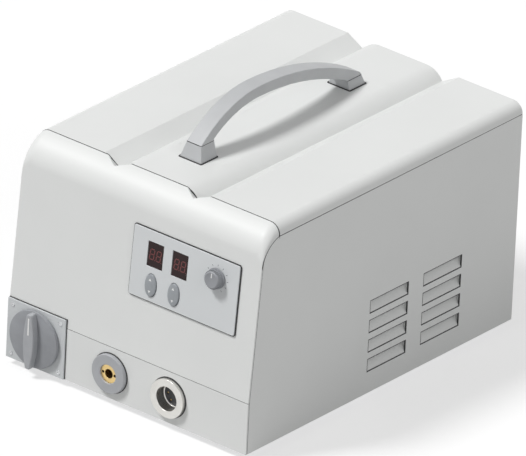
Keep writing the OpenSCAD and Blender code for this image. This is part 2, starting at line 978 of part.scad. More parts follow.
// Oval rocker key that tips up or down about its middle
module key(side) {
    color("grey")
        on_lean(key_mid_x + side * key_pitch, panel_z)
            translate([0, -key_drop, 0]) {
                translate([0, 0, -0.5])
                    linear_extrude(panel_t + key_out + 0.5)
                        polygon(oval_points(key_w, key_h));
                translate([0, 0, key_pivot - 3])
                    cylinder(r = 3, h = 4 - key_pivot);
                translate([-key_w / 2 - 3, 0, key_pivot])
                    rotate([0, 90, 0])
                        cylinder(r = key_pin_r, h = key_w + 6);
            }
}

module key_left() {
    key(-0.5);
}

module key_right() {
    key(0.5);
}

module adjust_knob() {
    color("dimgrey")
        on_lean(knob_x, panel_z)
            translate([0, knob_rise, 0])
                difference() {
                    union() {
                        translate([0, 0, panel_t + knob_gap])
                            cylinder(r = knob_d / 2, h = knob_h);
                        translate([0, 0, board_depth])
                            cylinder(r = stem_r, h = panel_t + knob_gap - board_depth + 1);
                    }
                    translate([-0.6, knob_d / 2 - 7, panel_t + knob_gap + knob_h - 1])
                        cube([1.2, 8, 2]);
                }
}

module potentiometer() {
    color("silver")
        on_lean(knob_x, panel_z)
            translate([0, knob_rise, 0])
                difference() {
                    union() {
                        translate([0, 0, board_depth - 9.6])
                            cylinder(r = 8, h = 9.5);
                        translate([0, 0, board_depth - 1])
                            cylinder(r = 4.2, h = -board_depth);
                    }
                    translate([0, 0, board_depth - 2])
                        cylinder(r = stem_r + run, h = 20);
                }
}

module control_board() {
    board_t = 1.6;
    color("darkgreen")
        on_lean(panel_mid_x, panel_z)
            difference() {
                union() {
                    translate([-panel_w / 2 + 8, -panel_h / 2 + 7, board_depth])
                        cube([panel_w - 16, panel_h - 14, board_t]);
                    for (x = [-1, 1], y = [-1, 1])
                        translate([x * (panel_w / 2 - 14), y * (panel_h / 2 - 11), board_depth])
                            cylinder(r = 2.5, h = -board_depth + 0.2);
                    translate([-30, -14, board_depth - 8])
                        cube([30, 8, 8.5]);
                    translate([6, -26, board_depth - 14])
                        cylinder(r = 7, h = 14.5);
                    for (side = [-0.5, 0.5], end = [-1, 1])
                        translate([
                            key_mid_x - panel_mid_x + side * key_pitch + end * (key_w / 2 + 2) - 1,
                            -key_drop - 2.5,
                            board_depth
                        ])
                            cube([2, 5, 2.5 + key_pivot - board_depth]);
                }
                for (side = [-0.5, 0.5])
                    translate([key_mid_x - panel_mid_x + side * key_pitch - key_w / 2 - 5, -key_drop, key_pivot])
                        rotate([0, 90, 0])
                            cylinder(r = key_pin_r + run, h = key_w + 10);
                translate([knob_x - panel_mid_x, knob_rise, board_depth - 1])
                    cylinder(r = 5, h = 9);
            }
}

// Rotary switch knob: a disc with a lens-shaped grip bar across it
module switch_knob() {
    lens_r = (switch_d * switch_d / 4 + grip_w * grip_w / 4) / grip_w;
    color("dimgrey")
        on_band(plate_w / 2, plate_h / 2, -plate_t - 0.5) {
            cylinder(r = switch_d / 2, h = disc_t);
            intersection() {
                translate([lens_r - grip_w / 2, 0, 1])
                    cylinder(r = lens_r, h = switch_h - 1, $fn = 96);
                translate([grip_w / 2 - lens_r, 0, 1])
                    cylinder(r = lens_r, h = switch_h - 1, $fn = 96);
                cylinder(r = switch_d / 2 - 0.5, h = switch_h);
            }
            translate([0, 0, -14])
                cylinder(r = switch_stem_r, h = 15);
        }
}

module switch_body() {
    body_side = 50;
    body_len = 46;
    body_front = front_t + seam + sheet;
    color("black")
        difference() {
            union() {
                translate([plate_w / 2 - body_side / 2, body_front, plate_h / 2 - body_side / 2 + 4])
                    cube([body_side, body_len, body_side - 8]);
                on_band(plate_w / 2, plate_h / 2, body_front + 1)
                    cylinder(r = switch_neck_r, h = body_front + 1);
            }
            on_band(plate_w / 2, plate_h / 2, 14)
                cylinder(r = switch_stem_r + run, h = 30);
        }
}

// ---- Front connectors ----

module torch_flange() {
    color("black")
        difference() {
            union() {
                on_band(wire_x, socket_z, 0)
                    cylinder(r = socket_d / 2, h = flange_out);
                on_band(wire_x, socket_z, 26)
                    cylinder(r = torch_body_r, h = 27);
            }
            on_band(wire_x, socket_z, 30)
                cylinder(r = torch_core_r + ring_gap, h = 50);
        }
}

module torch_core() {
    boss_x = wire_x + torch_core_r;
    color("goldenrod")
        difference() {
            union() {
                on_band(wire_x, socket_z, torch_depth)
                    cylinder(r = torch_core_r, h = torch_depth + flange_out - 2);
                on_band(wire_x, socket_z, torch_depth)
                    cylinder(r = torch_body_r, h = torch_depth - 27);
                translate([wire_x, hose_end[1], socket_z + torch_core_r])
                    cylinder(r = gas_r + 1, h = hose_end[2] - socket_z - torch_core_r);
                rod_x(boss_x, cable_end[1], socket_z, cable_r + 1, cable_end[0] - boss_x);
            }
            on_band(wire_x, socket_z, torch_depth + 1)
                cylinder(r = torch_bore_r, h = torch_depth + 20);
            for (side = [-1, 1])
                on_band(wire_x + side * 7.6, socket_z, 16)
                    cylinder(r = 1.6, h = 30, $fn = 24);
        }
}

module torch_nut() {
    nut_t = 7;
    color("dimgrey")
        difference() {
            on_band(wire_x, socket_z, front_t + nut_t)
                cylinder(r = 22, h = nut_t, $fn = 6);
            on_band(wire_x, socket_z, front_t + nut_t + 1)
                cylinder(r = torch_body_r + ring_gap, h = nut_t + 2);
        }
}

module remote_socket() {
    color("silver")
        difference() {
            union() {
                on_band(remote_x, socket_z, 0)
                    cylinder(r = socket_d / 2, h = flange_out);
                on_band(remote_x, socket_z, 24)
                    cylinder(r = remote_body_r, h = 25);
            }
            on_band(remote_x, socket_z, remote_recess - flange_out)
                cylinder(r = remote_r, h = remote_recess + 1);
            on_band(remote_x, socket_z, 30)
                cylinder(r = insert_r, h = 30);
        }
}

module remote_insert() {
    color("black")
        difference() {
            on_band(remote_x, socket_z, 26)
                cylinder(r = insert_r - ring_gap, h = 26 + flange_out - remote_recess);
            for (i = [0 : 5])
                rotate_about(remote_x, socket_z, i * 60)
                    on_band(remote_x + 8, socket_z, 14)
                        cylinder(r = 1.4, h = 30, $fn = 24);
        }
}

module rotate_about(x, z, a) {
    translate([x, 0, z])
        rotate([0, a, 0])
            translate([-x, 0, -z])
                children();
}

// ---- Wire drive ----

module drive_plate() {
    plate_points = [
        [arm_y - 8, arm_z + 4], [arm_y - 2, arm_z + 9], [arm_y + 8, arm_z + 9], [roll_y, press_axis_z - 2],
        [lever_y - 8, lever_z + 8], [lever_y + 4, lever_z + 9], [lever_y + 16, lever_z],
        [lever_y + 18, tray_top + 2], [arm_y - 3, tray_top + 2], [arm_y - 3, socket_z]
    ];
    color("darkgrey")
        difference() {
            translate([wall_x - plate_in, 0, 0])
                rotate([90, 0, 90])
                    linear_extrude(plate_in)
                        polygon(plate_points);
            rod_x(wall_x - plate_in - 1, roll_y, drive_axis_z, 7.5, plate_in + 2);
            rod_x(wall_x - plate_in - 1, arm_y, arm_z, pin_r, plate_in + 2);
            rod_x(wall_x - plate_in - 1, lever_y, lever_z, pin_r, plate_in + 2);
        }
}

// Fixed pins of the pressure arm and the tension lever
module drive_pins() {
    color("silver") {
        rod_x(arm_x - 0.5, arm_y, arm_z, pin_r, wall_x - arm_x + 0.5);
        rod_x(arm_x - 2, arm_y, arm_z, pin_r + 2, 1.5);
        rod_x(wire_x - 6, lever_y, lever_z, pin_r, wall_x - wire_x + 6);
        rod_x(wire_x - 7, lever_y, lever_z, pin_r + 1.5, 1.5);
    }
}

module gearbox() {
    color("grey")
        difference() {
            hull() {
                rod_x(gearbox_x, roll_y, drive_axis_z, 12, gearbox_len);
                rod_x(gearbox_x, motor_y, motor_z, motor_r + 2, gearbox_len);
            }
            rod_x(gearbox_x - 1, roll_y, drive_axis_z, shaft_r + run, gearbox_len - 3);
        }
}

module motor() {
    color("dimgrey")
        union() {
            rod_x(gearbox_x + gearbox_len, motor_y, motor_z, motor_r, motor_len);
            rod_x(gearbox_x + gearbox_len + motor_len, motor_y, motor_z, 9, 4);
            for (side = [-1, 1])
                translate([gearbox_x + gearbox_len + motor_len - 16, motor_y + side * (motor_r - 4), motor_z])
                    cube([10, 14, 10], center = true);
        }
}

module output_shaft() {
    color("silver")
        union() {
            rod_x(wire_x - 9, roll_y, drive_axis_z, shaft_r, wall_x - wire_x + 9 + gearbox_len - 3);
            rod_x(gear_x + gear_w + 0.2, roll_y, drive_axis_z, shaft_r + 2, 1.2);
        }
}

// Roll with a half-round groove for the wire
module roll(z) {
    groove = wire_r + 0.3;
    translate([wire_x - roll_w / 2, roll_y, z])
        rotate([0, 90, 0])
            rotate_extrude()
                polygon(concat(
                    [[shaft_r, 0], [roll_r, 0]],
                    [for (a = [-90 : 30 : 90]) [roll_r - groove * cos(a), roll_w / 2 + groove * sin(a)]],
                    [[roll_r, roll_w], [shaft_r, roll_w]]
                ));
}

// Spur gear with involute flanks thinned for backlash
module feed_gear(phase, bore) {
    base_r = roll_gap / 2 * cos(20);
    gear_module = roll_gap / gear_teeth;
    tip = roll_gap / 2 + 0.9 * gear_module;
    root = roll_gap / 2 - 1.15 * gear_module;
    half = 90 / gear_teeth - 0.6 + roll_angle(roll_gap / 2, base_r);
    radii = [root, base_r + 0.05, roll_gap / 2, tip, tip, roll_gap / 2, base_r + 0.05, root];
    difference() {
        linear_extrude(gear_w)
            polygon([
                for (i = [0 : gear_teeth - 1], p = [0 : 7])
                    let (r = radii[p])
                    let (flank = half - roll_angle(max(r, base_r), base_r))
                    let (a = i * 360 / gear_teeth + phase + (p < 4 ? -flank : flank))
                    [r * cos(a), r * sin(a)]
            ]);
        translate([0, 0, -1])
            cylinder(r = bore, h = gear_w + 2);
    }
}

function roll_angle(r, base_r) =
    let (a = acos(base_r / r))
    tan(a) * 180 / PI - a;

module drive_roll() {
    color("silver")
        roll(drive_axis_z);
}

module drive_gear() {
    color("darkgoldenrod")
        translate([gear_x, roll_y, drive_axis_z])
            rotate([90, 0, 90])
                feed_gear(90, shaft_r);
}

module roll_nut() {
    color("black")
        difference() {
            rod_x(wire_x - 10.5, roll_y, drive_axis_z, 8.5, 6);
            rod_x(wire_x - 9, roll_y, drive_axis_z, shaft_r, 8);
        }
}

// Arm over the rolls: a boss on the fixed pin, an outer cheek with the roll's axle and a forked end
module pressure_arm() {
    cheek_t = 6;
    fork_y = lever_y - 7;
    fork_z = arm_z + 1;
    fork_end = lever_y + 6;
    color("darkgrey")
        difference() {
            union() {
                rod_x(arm_x, arm_y, arm_z, 7, wall_x - plate_in - 0.5 - arm_x);
                translate([arm_x, 0, 0])
                    rotate([90, 0, 90])
                        linear_extrude(cheek_t)
                            polygon([
                                [arm_y, arm_z + 7], [arm_y + 12, arm_z + 8], [lever_y, arm_z + 8], [fork_end, arm_z + 6],
                                [fork_end, fork_z], [roll_y + 12, fork_z], [roll_y + 6, press_axis_z - 6],
                                [roll_y - 6, press_axis_z - 6], [roll_y - 12, arm_z - 7], [arm_y, arm_z - 7]
                            ]);
                rod_x(arm_x, roll_y, press_axis_z, axle_pin_r, gear_x + gear_w + 0.5 - arm_x);
                translate([arm_x, 0, 0])
                    rotate([90, 0, 90])
                        linear_extrude(wall_x - plate_in - 1 - arm_x)
                            polygon([
                                [fork_y, arm_z + 8], [lever_y, arm_z + 8], [fork_end, arm_z + 6],
                                [fork_end, arm_z + 4], [fork_y, arm_z + 4]
                            ]);
            }
            rod_x(arm_x - 1, arm_y, arm_z, pin_r + run, 40);
            translate([wire_x - 3.5, lever_y - 3.5, fork_z - 1])
                cube([7, 20, 20]);
        }
}

module pressure_roll() {
    color("silver")
        difference() {
            union() {
                roll(press_axis_z);
                rod_x(wire_x - roll_w / 2, roll_y, press_axis_z, shaft_r + 0.5, roll_w);
            }
            rod_x(wire_x - 10, roll_y, press_axis_z, axle_pin_r + run, 30);
        }
}

module pressure_gear() {
    color("darkgoldenrod")
        translate([gear_x, roll_y, press_axis_z])
            rotate([90, 0, 90])
                feed_gear(270 + 180 / gear_teeth, axle_pin_r + run);
    color("darkgoldenrod")
        difference() {
            rod_x(wire_x + roll_w / 2, roll_y, press_axis_z, shaft_r + 1, gear_x - wire_x - roll_w / 2);
            rod_x(wire_x, roll_y, press_axis_z, axle_pin_r + run, 30);
        }
}

// Local z along the tension bolt, which is drawn swung back
module on_lever() {
    translate([wire_x, lever_y, lever_z])
        rotate([-lever_tilt, 0, 0])
            children();
}

module tension_lever() {
    color("silver")
        on_lever()
            difference() {
                union() {
                    translate([-4, 0, 0])
                        rotate([0, 90, 0])
                            cylinder(r = 6, h = 8);
                    translate([0, 0, 5])
                        cylinder(r = bolt_r, h = seat_z + spring_len + 14 - 5);
                }
                translate([-10, 0, 0])
                    rotate([0, 90, 0])
                        cylinder(r = pin_r + run, h = 20);
            }
}

// Spring with the washer that presses on the arm's fork
module tension_spring() {
    washer_t = 1.5;
    color("silver")
        on_lever()
            translate([0, 0, seat_z])
                difference() {
                    union() {
                        cylinder(r = 6.5, h = washer_t);
                        translate([0, 0, 1])
                            cylinder(r = 5.2, h = spring_len - 1.3);
                    }
                    translate([0, 0, -1])
                        cylinder(r = bolt_r + run, h = 10);
                    translate([0, 0, washer_t])
                        cylinder(r = bolt_r + 0.6, h = spring_len);
                }
}

module tension_knob() {
    knob_len = 18;
    color("orangered")
        on_lever()
            translate([0, 0, seat_z + spring_len])
                difference() {
                    cylinder(r = 9, h = knob_len);
                    translate([0, 0, -1])
                        cylinder(r = bolt_r + run, h = 16);
                }
}

module wire_guides() {
    inlet_len = 24;
    outlet_y = torch_depth + 1;
    color("goldenrod")
        difference() {
            union() {
                rod_y(wire_x, roll_y + 12, socket_z, guide_r, inlet_len);
                rod_y(wire_x, roll_y + tip_gap, socket_z, tip_r, 6);
                rod_y(wire_x, outlet_y, socket_z, guide_r - 0.5, roll_y - 12 - outlet_y);
                rod_y(wire_x, roll_y - 14, socket_z, tip_r, 14 - tip_gap);
                translate([wire_x, roll_y + 16, socket_z - 3])
                    cube([wall_x - plate_in - wire_x, 16, 6]);
                translate([wire_x, outlet_y + 0.5, socket_z - 3])
                    cube([wall_x - plate_in - wire_x, 6, 6]);
            }
            rod_y(wire_x, 0, socket_z, guide_bore, roll_y + 60);
        }
}

module welding_wire() {
    color("peru")
        rod_y(wire_x, torch_depth + 2, socket_z, wire_r, spool_y - torch_depth - 2);
}

// ---- Spool ----

module spindle() {
    color("silver")
        union() {
            rod_x(wall_x - 3, spool_y, spool_z, 30, 3);
            rod_x(spool_x - 14, spool_y, spool_z, axle_r, wall_x - spool_x + 14);
            rod_x(spool_x - 16, spool_y, spool_z, 11, 4);
        }
}

module spool_hub() {
    hub_out = 5;
    nut_r = 30;
    color("black")
        difference() {
            union() {
                rod_x(spool_x - hub_out, spool_y, spool_z, spool_bore_r - hub_gap, hub_len + hub_out - 2);
                rod_x(spool_x - hub_out - 3, spool_y, spool_z, nut_r, hub_out);
                for (a = [0 : 60 : 300])
                    translate([spool_x - hub_out - 3, spool_y, spool_z])
                        rotate([a, 0, 0])
                            translate([0, nut_r - 3, 0])
                                rotate([0, 90, 0])
                                    cylinder(r = 6, h = hub_out);
            }
            rod_x(spool_x - 20, spool_y, spool_z, axle_r + run, hub_len + 30);
        }
}

module spool() {
    color("dimgrey")
        difference() {
            union() {
                for (x = [spool_x, spool_x + spool_w - spool_flange_t])
                    rod_x(x, spool_y, spool_z, spool_r, spool_flange_t);
                rod_x(spool_x, spool_y, spool_z, core_r, spool_w);
            }
            rod_x(spool_x - 1, spool_y, spool_z, spool_bore_r, spool_w + 2);
            for (a = [0 : 60 : 300])
                translate([spool_x - 1, spool_y, spool_z])
                    rotate([a + 30, 0, 0])
                        translate([0, (spool_bore_r + core_r) / 2, 0])
                            rotate([0, 90, 0])
                                cylinder(r = 7, h = spool_w + 2);
        }
}

module wire_winding() {
    color("peru")
        difference() {
            rod_x(spool_x + spool_flange_t, spool_y, spool_z, winding_r, spool_w - 2 * spool_flange_t);
            rod_x(spool_x, spool_y, spool_z, core_r, spool_w);
        }
}

// ---- Service buttons, gas, current and control ----

module button_block() {
    bezel_t = 2;
    block = 20;
    color("black")
        for (z = button_heights)
            difference() {
                union() {
                    rod_x(wall_x - bezel_t, button_y, z, button_r + 3.5, bezel_t);
                    rod_x(wall_x - bezel_t, button_y, z, button_r + 1.4, bezel_t + sheet + 1);
                    translate([wall_x + sheet, button_y - block / 2, z - block / 2])
                        cube([block, block, block]);
                }
                rod_x(wall_x - 5, button_y, z, button_r + run, 5 + sheet + 12);
            }
}

module push_button(z) {
    rod_x(wall_x - 6, button_y, z, button_r, 13);
}

module inch_button() {
    color("green")
        push_button(button_heights[1]);
}

module purge_button() {
    color("firebrick")
        push_button(button_heights[0]);
}

function along(route, i) =
    i == 0 ? route[1] - route[0] : i == len(route) - 1 ? route[i] - route[i - 1] : route[i + 1] - route[i - 1];

module tube(route, r, sides) {
    rings = [
        for (i = [0 : len(route) - 1])
            let (dir = along(route, i) / norm(along(route, i)))
            let (ref = abs(dir[0]) > 0.9 ? [0, 0, 1] : [1, 0, 0])
            let (u = cross(dir, ref) / norm(cross(dir, ref)))
            let (v = cross(dir, u))
            [for (s = [0 : sides - 1]) route[i] + r * cos(s * 360 / sides) * u + r * sin(s * 360 / sides) * v]
    ];
    count = len(route);
    faces = concat(
        [
            for (i = [0 : count - 2], s = [0 : sides - 1], half = [0, 1])
                let (a = i * sides + s)
                let (b = i * sides + (s + 1) % sides)
                half == 0 ? [a, a + sides, b] : [b, a + sides, b + sides]
        ],
        [[for (s = [0 : sides - 1]) s]],
        [[for (s = [sides - 1 : -1 : 0]) (count - 1) * sides + s]]
    );
    polyhedron([for (ring = rings) each ring], faces);
}

// Gas nipple through the rear panel with the solenoid valve behind it
module gas_valve() {
    block_y = body_d - valve_behind;
    block_d = 42;
    color("silver")
        union() {
            rod_y(gas_x, block_y + block_d - 1, rear_z, gas_r + 1.5, valve_behind - block_d - rear_inset + 1.2);
            rod_y(gas_x, body_d - rear_inset + 0.1, rear_z, gas_r + 3, 5);
            rod_y(gas_x, body_d - rear_inset, rear_z, gas_r, rear_inset + rear_out - 6);
            translate([gas_x - 14, block_y, rear_z - 12])
                cube([28, block_d, 24]);
            translate([gas_x - 12, block_y + 8, rear_z + 11])
                cube([24, 26, 34]);
            rod_y(gas_x, hose_route[0][1], rear_z, gas_r + 1.5, block_y - hose_route[0][1] + 1);
        }
}

module gas_hose() {
    color("dimgrey")
        tube(hose_route, gas_r, 10);
}

module power_cable() {
    color("black")
        tube(cable_route, cable_r, 10);
}

// Insulated panel plug for the welding current cable
module current_inlet() {
    color("black")
        difference() {
            union() {
                rod_y(current_x, body_d - rear_inset, rear_z, 21, 6);
                rod_y(current_x, body_d - rear_inset - sheet - 16, rear_z, current_body_r - 0.3, 18);
                rod_y(current_x, body_d - rear_inset, rear_z, current_body_r, 10);
            }
            rod_y(current_x, body_d - 60, rear_z, current_r - 0.1, 90);
        }
    color("goldenrod")
        rod_y(current_x, cable_route[0][1], rear_z, current_r, body_d + rear_out - cable_route[0][1]);
}

module control_inlet() {
    color("silver")
        difference() {
            union() {
                translate([control_x - 16, body_d - rear_inset, control_z - 16])
                    cube([32, 3, 32]);
                rod_y(control_x, body_d - rear_inset, control_z, control_r + 1, 15);
                rod_y(control_x, body_d - rear_inset - 20, control_z, control_r - 0.3, 22);
            }
            for (i = [0 : 5])
                rotate_about(control_x, control_z, i * 60)
                    rod_y(control_x + 6, body_d + 8, control_z, 1.4, 10);
        }
}

placed() base_tray();
placed() front_panel();
placed() connector_band();
placed() switch_plate();
placed() top_cover();
placed() side_cover();
placed() left_frame();
placed() rear_panel();
placed() centre_wall();
placed() handle();
placed() feet();
placed() casing_screws();
placed() door();
placed() hinge_pins();
placed() latch_upper();
placed() latch_lower();
placed() door_liner();
placed() control_panel();
placed() display_left();
placed() display_right();
placed() key_left();
placed() key_right();
placed() adjust_knob();
placed() potentiometer();
placed() control_board();
placed() switch_knob();
placed() switch_body();
placed() torch_flange();
placed() torch_core();
placed() torch_nut();
placed() remote_socket();
placed() remote_insert();
placed() drive_plate();
placed() gearbox();
placed() motor();
placed() output_shaft();
placed() drive_roll();
placed() drive_gear();
placed() roll_nut();
placed() pressure_arm();
placed() pressure_roll();
placed() pressure_gear();
placed() drive_pins();
placed() tension_lever();
placed() tension_spring();
placed() tension_knob();
placed() wire_guides();
placed() spindle();
placed() spool_hub();
placed() spool();
placed() wire_winding();
placed() welding_wire();
placed() button_block();
placed() inch_button();
placed() purge_button();
placed() gas_valve();
placed() gas_hose();
placed() power_cable();
placed() current_inlet();
placed() control_inlet();
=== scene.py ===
# Portable wire feeder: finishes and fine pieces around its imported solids
import json
from math import atan2, cos, hypot, pi, radians, sin, sqrt, tan

import bmesh
import bpy
from mathutils import Matrix, Vector


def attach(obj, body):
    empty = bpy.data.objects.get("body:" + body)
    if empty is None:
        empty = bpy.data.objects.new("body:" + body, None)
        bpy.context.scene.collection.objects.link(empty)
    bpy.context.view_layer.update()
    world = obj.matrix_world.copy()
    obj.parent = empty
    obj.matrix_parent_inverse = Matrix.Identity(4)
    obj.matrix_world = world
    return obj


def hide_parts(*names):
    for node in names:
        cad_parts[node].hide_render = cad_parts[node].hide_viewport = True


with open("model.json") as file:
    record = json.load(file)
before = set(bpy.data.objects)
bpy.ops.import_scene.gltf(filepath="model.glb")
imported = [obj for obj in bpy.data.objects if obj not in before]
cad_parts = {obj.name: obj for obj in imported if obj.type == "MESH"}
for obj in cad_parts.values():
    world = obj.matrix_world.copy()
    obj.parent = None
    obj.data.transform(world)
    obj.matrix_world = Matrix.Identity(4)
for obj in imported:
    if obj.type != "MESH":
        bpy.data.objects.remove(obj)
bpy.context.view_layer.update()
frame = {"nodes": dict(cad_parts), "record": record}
nodes = frame["nodes"]
bodyOf = {n: b for b, members in frame["record"]["behaviour"]["bodies"].items() for n in members}
scene = bpy.context.scene
print("frame loaded:", len(nodes), "nodes")

# Bench millimetres: x from the casing's left side, y from the front's foot, z from the tray's underside
bench = {"middle": (155, 215, -8), "bandHeight": 56.5, "lean": atan2(14, 242 - 56.5), "rearSheet": 416}
tolerance = {"axis": 1e-6, "weld": 1e-4, "solidWeld": 2e-6, "flat": 0.6}  # mm, mm, metres and degrees


def pick(table, names):  # several values of a dictionary
    return [table[name] for name in names.split()]


def spot(x, y, z):
    mx, my, mz = bench["middle"]
    return Vector(((x - mx) / 1000, (y - my) / 1000, (z - mz) / 1000))


# Local u runs along "across", v along "up" and w out of the face, all in millimetres
def placeAt(x, y, z, across, up):
    u, v = Vector(across).normalized(), Vector(up).normalized()
    turn = Matrix((u, v, u.cross(v))).transposed().to_4x4()
    return Matrix.Translation(spot(x, y, z)) @ turn @ Matrix.Scale(0.001, 4)


def frontPlace(x, z, y=0):
    return placeAt(x, y, z, (1, 0, 0), (0, 0, 1))


def leanPlace(x, z):
    a = bench["lean"]
    return placeAt(x, (z - bench["bandHeight"]) * tan(a), z, (1, 0, 0), (0, sin(a), cos(a)))


def rearPlace(x, z):  # w runs to the rear
    return placeAt(x, bench["rearSheet"], z, (-1, 0, 0), (0, 0, 1))


# Mesh building blocks, all in local millimetres
def addLathe(bm, profile, steps=64, closed=False):
    rings = []
    angles = [2 * pi * i / steps for i in range(steps)]
    for r, w in profile:
        if r < tolerance["axis"]:
            rings.append([bm.verts.new((0, 0, w))])
        else:
            rings.append([bm.verts.new((r * cos(a), r * sin(a), w)) for a in angles])
    pairs = list(zip(rings, rings[1:])) + ([(rings[-1], rings[0])] if closed else [])
    for low, high in pairs:
        for i in range(steps if len(low) + len(high) > 2 else 0):
            j = (i + 1) % steps
            corners = [low[i % len(low)], low[j % len(low)], high[j % len(high)], high[i % len(high)]]
            corners = [c for n, c in enumerate(corners) if c not in corners[:n]]
            bm.faces.new(corners)


def bridge(bm, low, high):  # faces between two closed rows of corners
    for i in range(len(low)):
        j = (i + 1) % len(low)
        bm.faces.new((low[i], low[j], high[j], high[i]))


def addBar(bm, rows):  # a closed bar through rows of points
    rows = [[bm.verts.new(point) for point in row] for row in rows]
    for low, high in zip(rows, rows[1:]):
        bridge(bm, low, high)
    bm.faces.new(rows[0][::-1])
    bm.faces.new(rows[-1])


def addPrism(bm, points, low, high):
    addBar(bm, [[(u, v, w) for u, v in points] for w in (low, high)])


def addFrame(bm, outer, inner, low, high):  # a flat ring between two outlines with equally many points
    rows = [[bm.verts.new((u, v, w)) for u, v in line]
        for line, w in ((outer, low), (outer, high), (inner, high), (inner, low))]
    for i, row in enumerate(rows):
        bridge(bm, row, rows[(i + 1) % 4])


def roundedOutline(width, height, radius, centre=(0, 0), steps=6):
    points = []
    for corner, (su, sv) in enumerate(((1, 1), (-1, 1), (-1, -1), (1, -1))):
        for step in range(steps):
            a = radians(corner * 90 + step * 90 / (steps - 1))
            points.append((centre[0] + su * (width / 2 - radius) + radius * cos(a),
                centre[1] + sv * (height / 2 - radius) + radius * sin(a)))
    return points


def box(u0, u1, v0, v1):
    return [(u0, v0), (u1, v0), (u1, v1), (u0, v1)]


def rect(width, height):
    return box(-width / 2, width / 2, -height / 2, height / 2)


def oval(width, height, steps=64, centre=(0, 0), start=0):
    angles = [start + 2 * pi * i / steps for i in range(steps)]
    return [(centre[0] + width / 2 * cos(a), centre[1] + height / 2 * sin(a)) for a in angles]


def circle(radius, steps=64, centre=(0, 0), start=0):
    return oval(2 * radius, 2 * radius, steps, centre, start)


def addTube(bm, points, radius, sides):  # a smooth hose along points
    rows, side = [], None
    angles = [2 * pi * i / sides for i in range(sides)]
    for i, p in enumerate(points):
        ahead = (points[min(i + 1, len(points) - 1)] - points[max(i - 1, 0)]).normalized()
        side = (side - side.dot(ahead) * ahead).normalized() if side else ahead.orthogonal().normalized()
        other = ahead.cross(side)
        rows.append([p + radius * (cos(a) * side + sin(a) * other) for a in angles])
    addBar(bm, rows)


def smoothRoute(points, parts=6):  # Catmull-Rom curve through the points
    points = [Vector(p) for p in points]
    ends = [points[0] * 2 - points[1]] + points + [points[-1] * 2 - points[-2]]
    route = []
    for i in range(1, len(ends) - 2):
        a, b, c, d = ends[i - 1:i + 3]
        for step in range(parts):
            t = step / parts
            route.append(0.5 * (2 * b + (c - a) * t + (2 * a - 5 * b + 4 * c - d) * t ** 2
                + (3 * b - a - 3 * c + d) * t ** 3))
    return route + [points[-1]]


# Objects
def newObject(name, data):
    obj = bpy.data.objects.new(name, data)
    scene.collection.objects.link(obj)
    return obj


def objectFrom(name, bm):
    mesh = bpy.data.meshes.new(name)
    bm.to_mesh(mesh)
    bm.free()
    return newObject(name, mesh)


def shadeByAngle(obj, angle=35):
    obj.data.shade_smooth()
    obj.data.set_sharp_from_angle(angle=radians(angle))
    return obj


def settle(obj):  # applies an object's modifiers
    bpy.context.view_layer.update()
    shaped = obj.evaluated_get(bpy.context.evaluated_depsgraph_get())
    mesh = bpy.data.meshes.new_from_object(shaped)
    obj.modifiers.clear()
    old = obj.data
    obj.data = mesh
    bpy.data.meshes.remove(old)
    return obj


# Breaks the edges (width in millimetres) and keeps the flat faces flat in the shading
def addBevel(obj, width, angle=40, sharp=50):
    if width:
        bevel = obj.modifiers.new("edges", "BEVEL")
        bevel.width = width / 1000
        bevel.segments = 2
        bevel.limit_method = "ANGLE"
        bevel.angle_limit = radians(angle)
        bevel.use_clamp_overlap = False
        settle(obj)
    shadeByAngle(obj, sharp)
    obj.modifiers.new("shading", "WEIGHTED_NORMAL").keep_sharp = True
    return settle(obj)


def finishPiece(obj, finish, body="casing", replaced=()):
    obj.data.materials.clear()
    obj.data.materials.append(finishes[finish])
    obj.data.polygons.foreach_set("material_index", [0] * len(obj.data.polygons))
    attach(obj, body)
    if replaced:
        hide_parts(*replaced)
    return obj


def pieceFrom(name, bm, place=None):
    bmesh.ops.remove_doubles(bm, verts=bm.verts, dist=tolerance["weld"])
    bmesh.ops.recalc_face_normals(bm, faces=bm.faces)
    if place:
        bmesh.ops.transform(bm, matrix=place, verts=bm.verts)
    return objectFrom(name, bm)


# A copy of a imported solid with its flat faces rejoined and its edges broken
def easedCopy(node, name, finish, edge, fold=40, sharp=50):
    bm = bmesh.new()
    bm.from_mesh(nodes[node].data)
    bmesh.ops.remove_doubles(bm, verts=bm.verts, dist=tolerance["solidWeld"])
    bmesh.ops.dissolve_limit(bm, angle_limit=radians(tolerance["flat"]), verts=bm.verts, edges=bm.edges,
        delimit=set())
    obj = addBevel(objectFrom(name, bm), edge, fold, sharp)
    return finishPiece(obj, finish, bodyOf[node], [node])


# Node trees for what repeats
def newTree(name, sizes, item=True):
    tree = bpy.data.node_groups.new(name, "GeometryNodeTree")
    kinds = {"Geometry": "Geometry", "Item": "Object"} if item else {"Geometry": "Geometry"}
    kinds.update({label: "Int" if isinstance(value, int) else "Float" for label, value in sizes.items()})
    kinds["Material"] = "Material"
    for label, kind in kinds.items():
        socket = tree.interface.new_socket(label, in_out="INPUT", socket_type="NodeSocket" + kind)
        if label in sizes:
            socket.default_value = sizes[label]
    tree.interface.new_socket("Geometry", in_out="OUTPUT", socket_type="NodeSocketGeometry")
    return tree, tree.nodes.new("NodeGroupInput").outputs, tree.nodes.new("NodeGroupOutput")


def feed(tree, node, values):  # links the sockets among the values and sets the rest
    for name, value in values.items():
        if isinstance(value, bpy.types.NodeSocket):
            tree.links.new(value, node.inputs[name])
        else:
            node.inputs[name].default_value = value
    return node


def addNode(tree, kind, values={}, **settings):
    node = tree.nodes.new(kind)
    for name, value in settings.items():
        setattr(node, name, value)
    return feed(tree, node, values)


def calc(tree, operation, *values):
    return addNode(tree, "ShaderNodeMath", dict(enumerate(values)), operation=operation).outputs[0]


def joined(tree, **parts):
    return addNode(tree, "ShaderNodeCombineXYZ", parts).outputs[0]


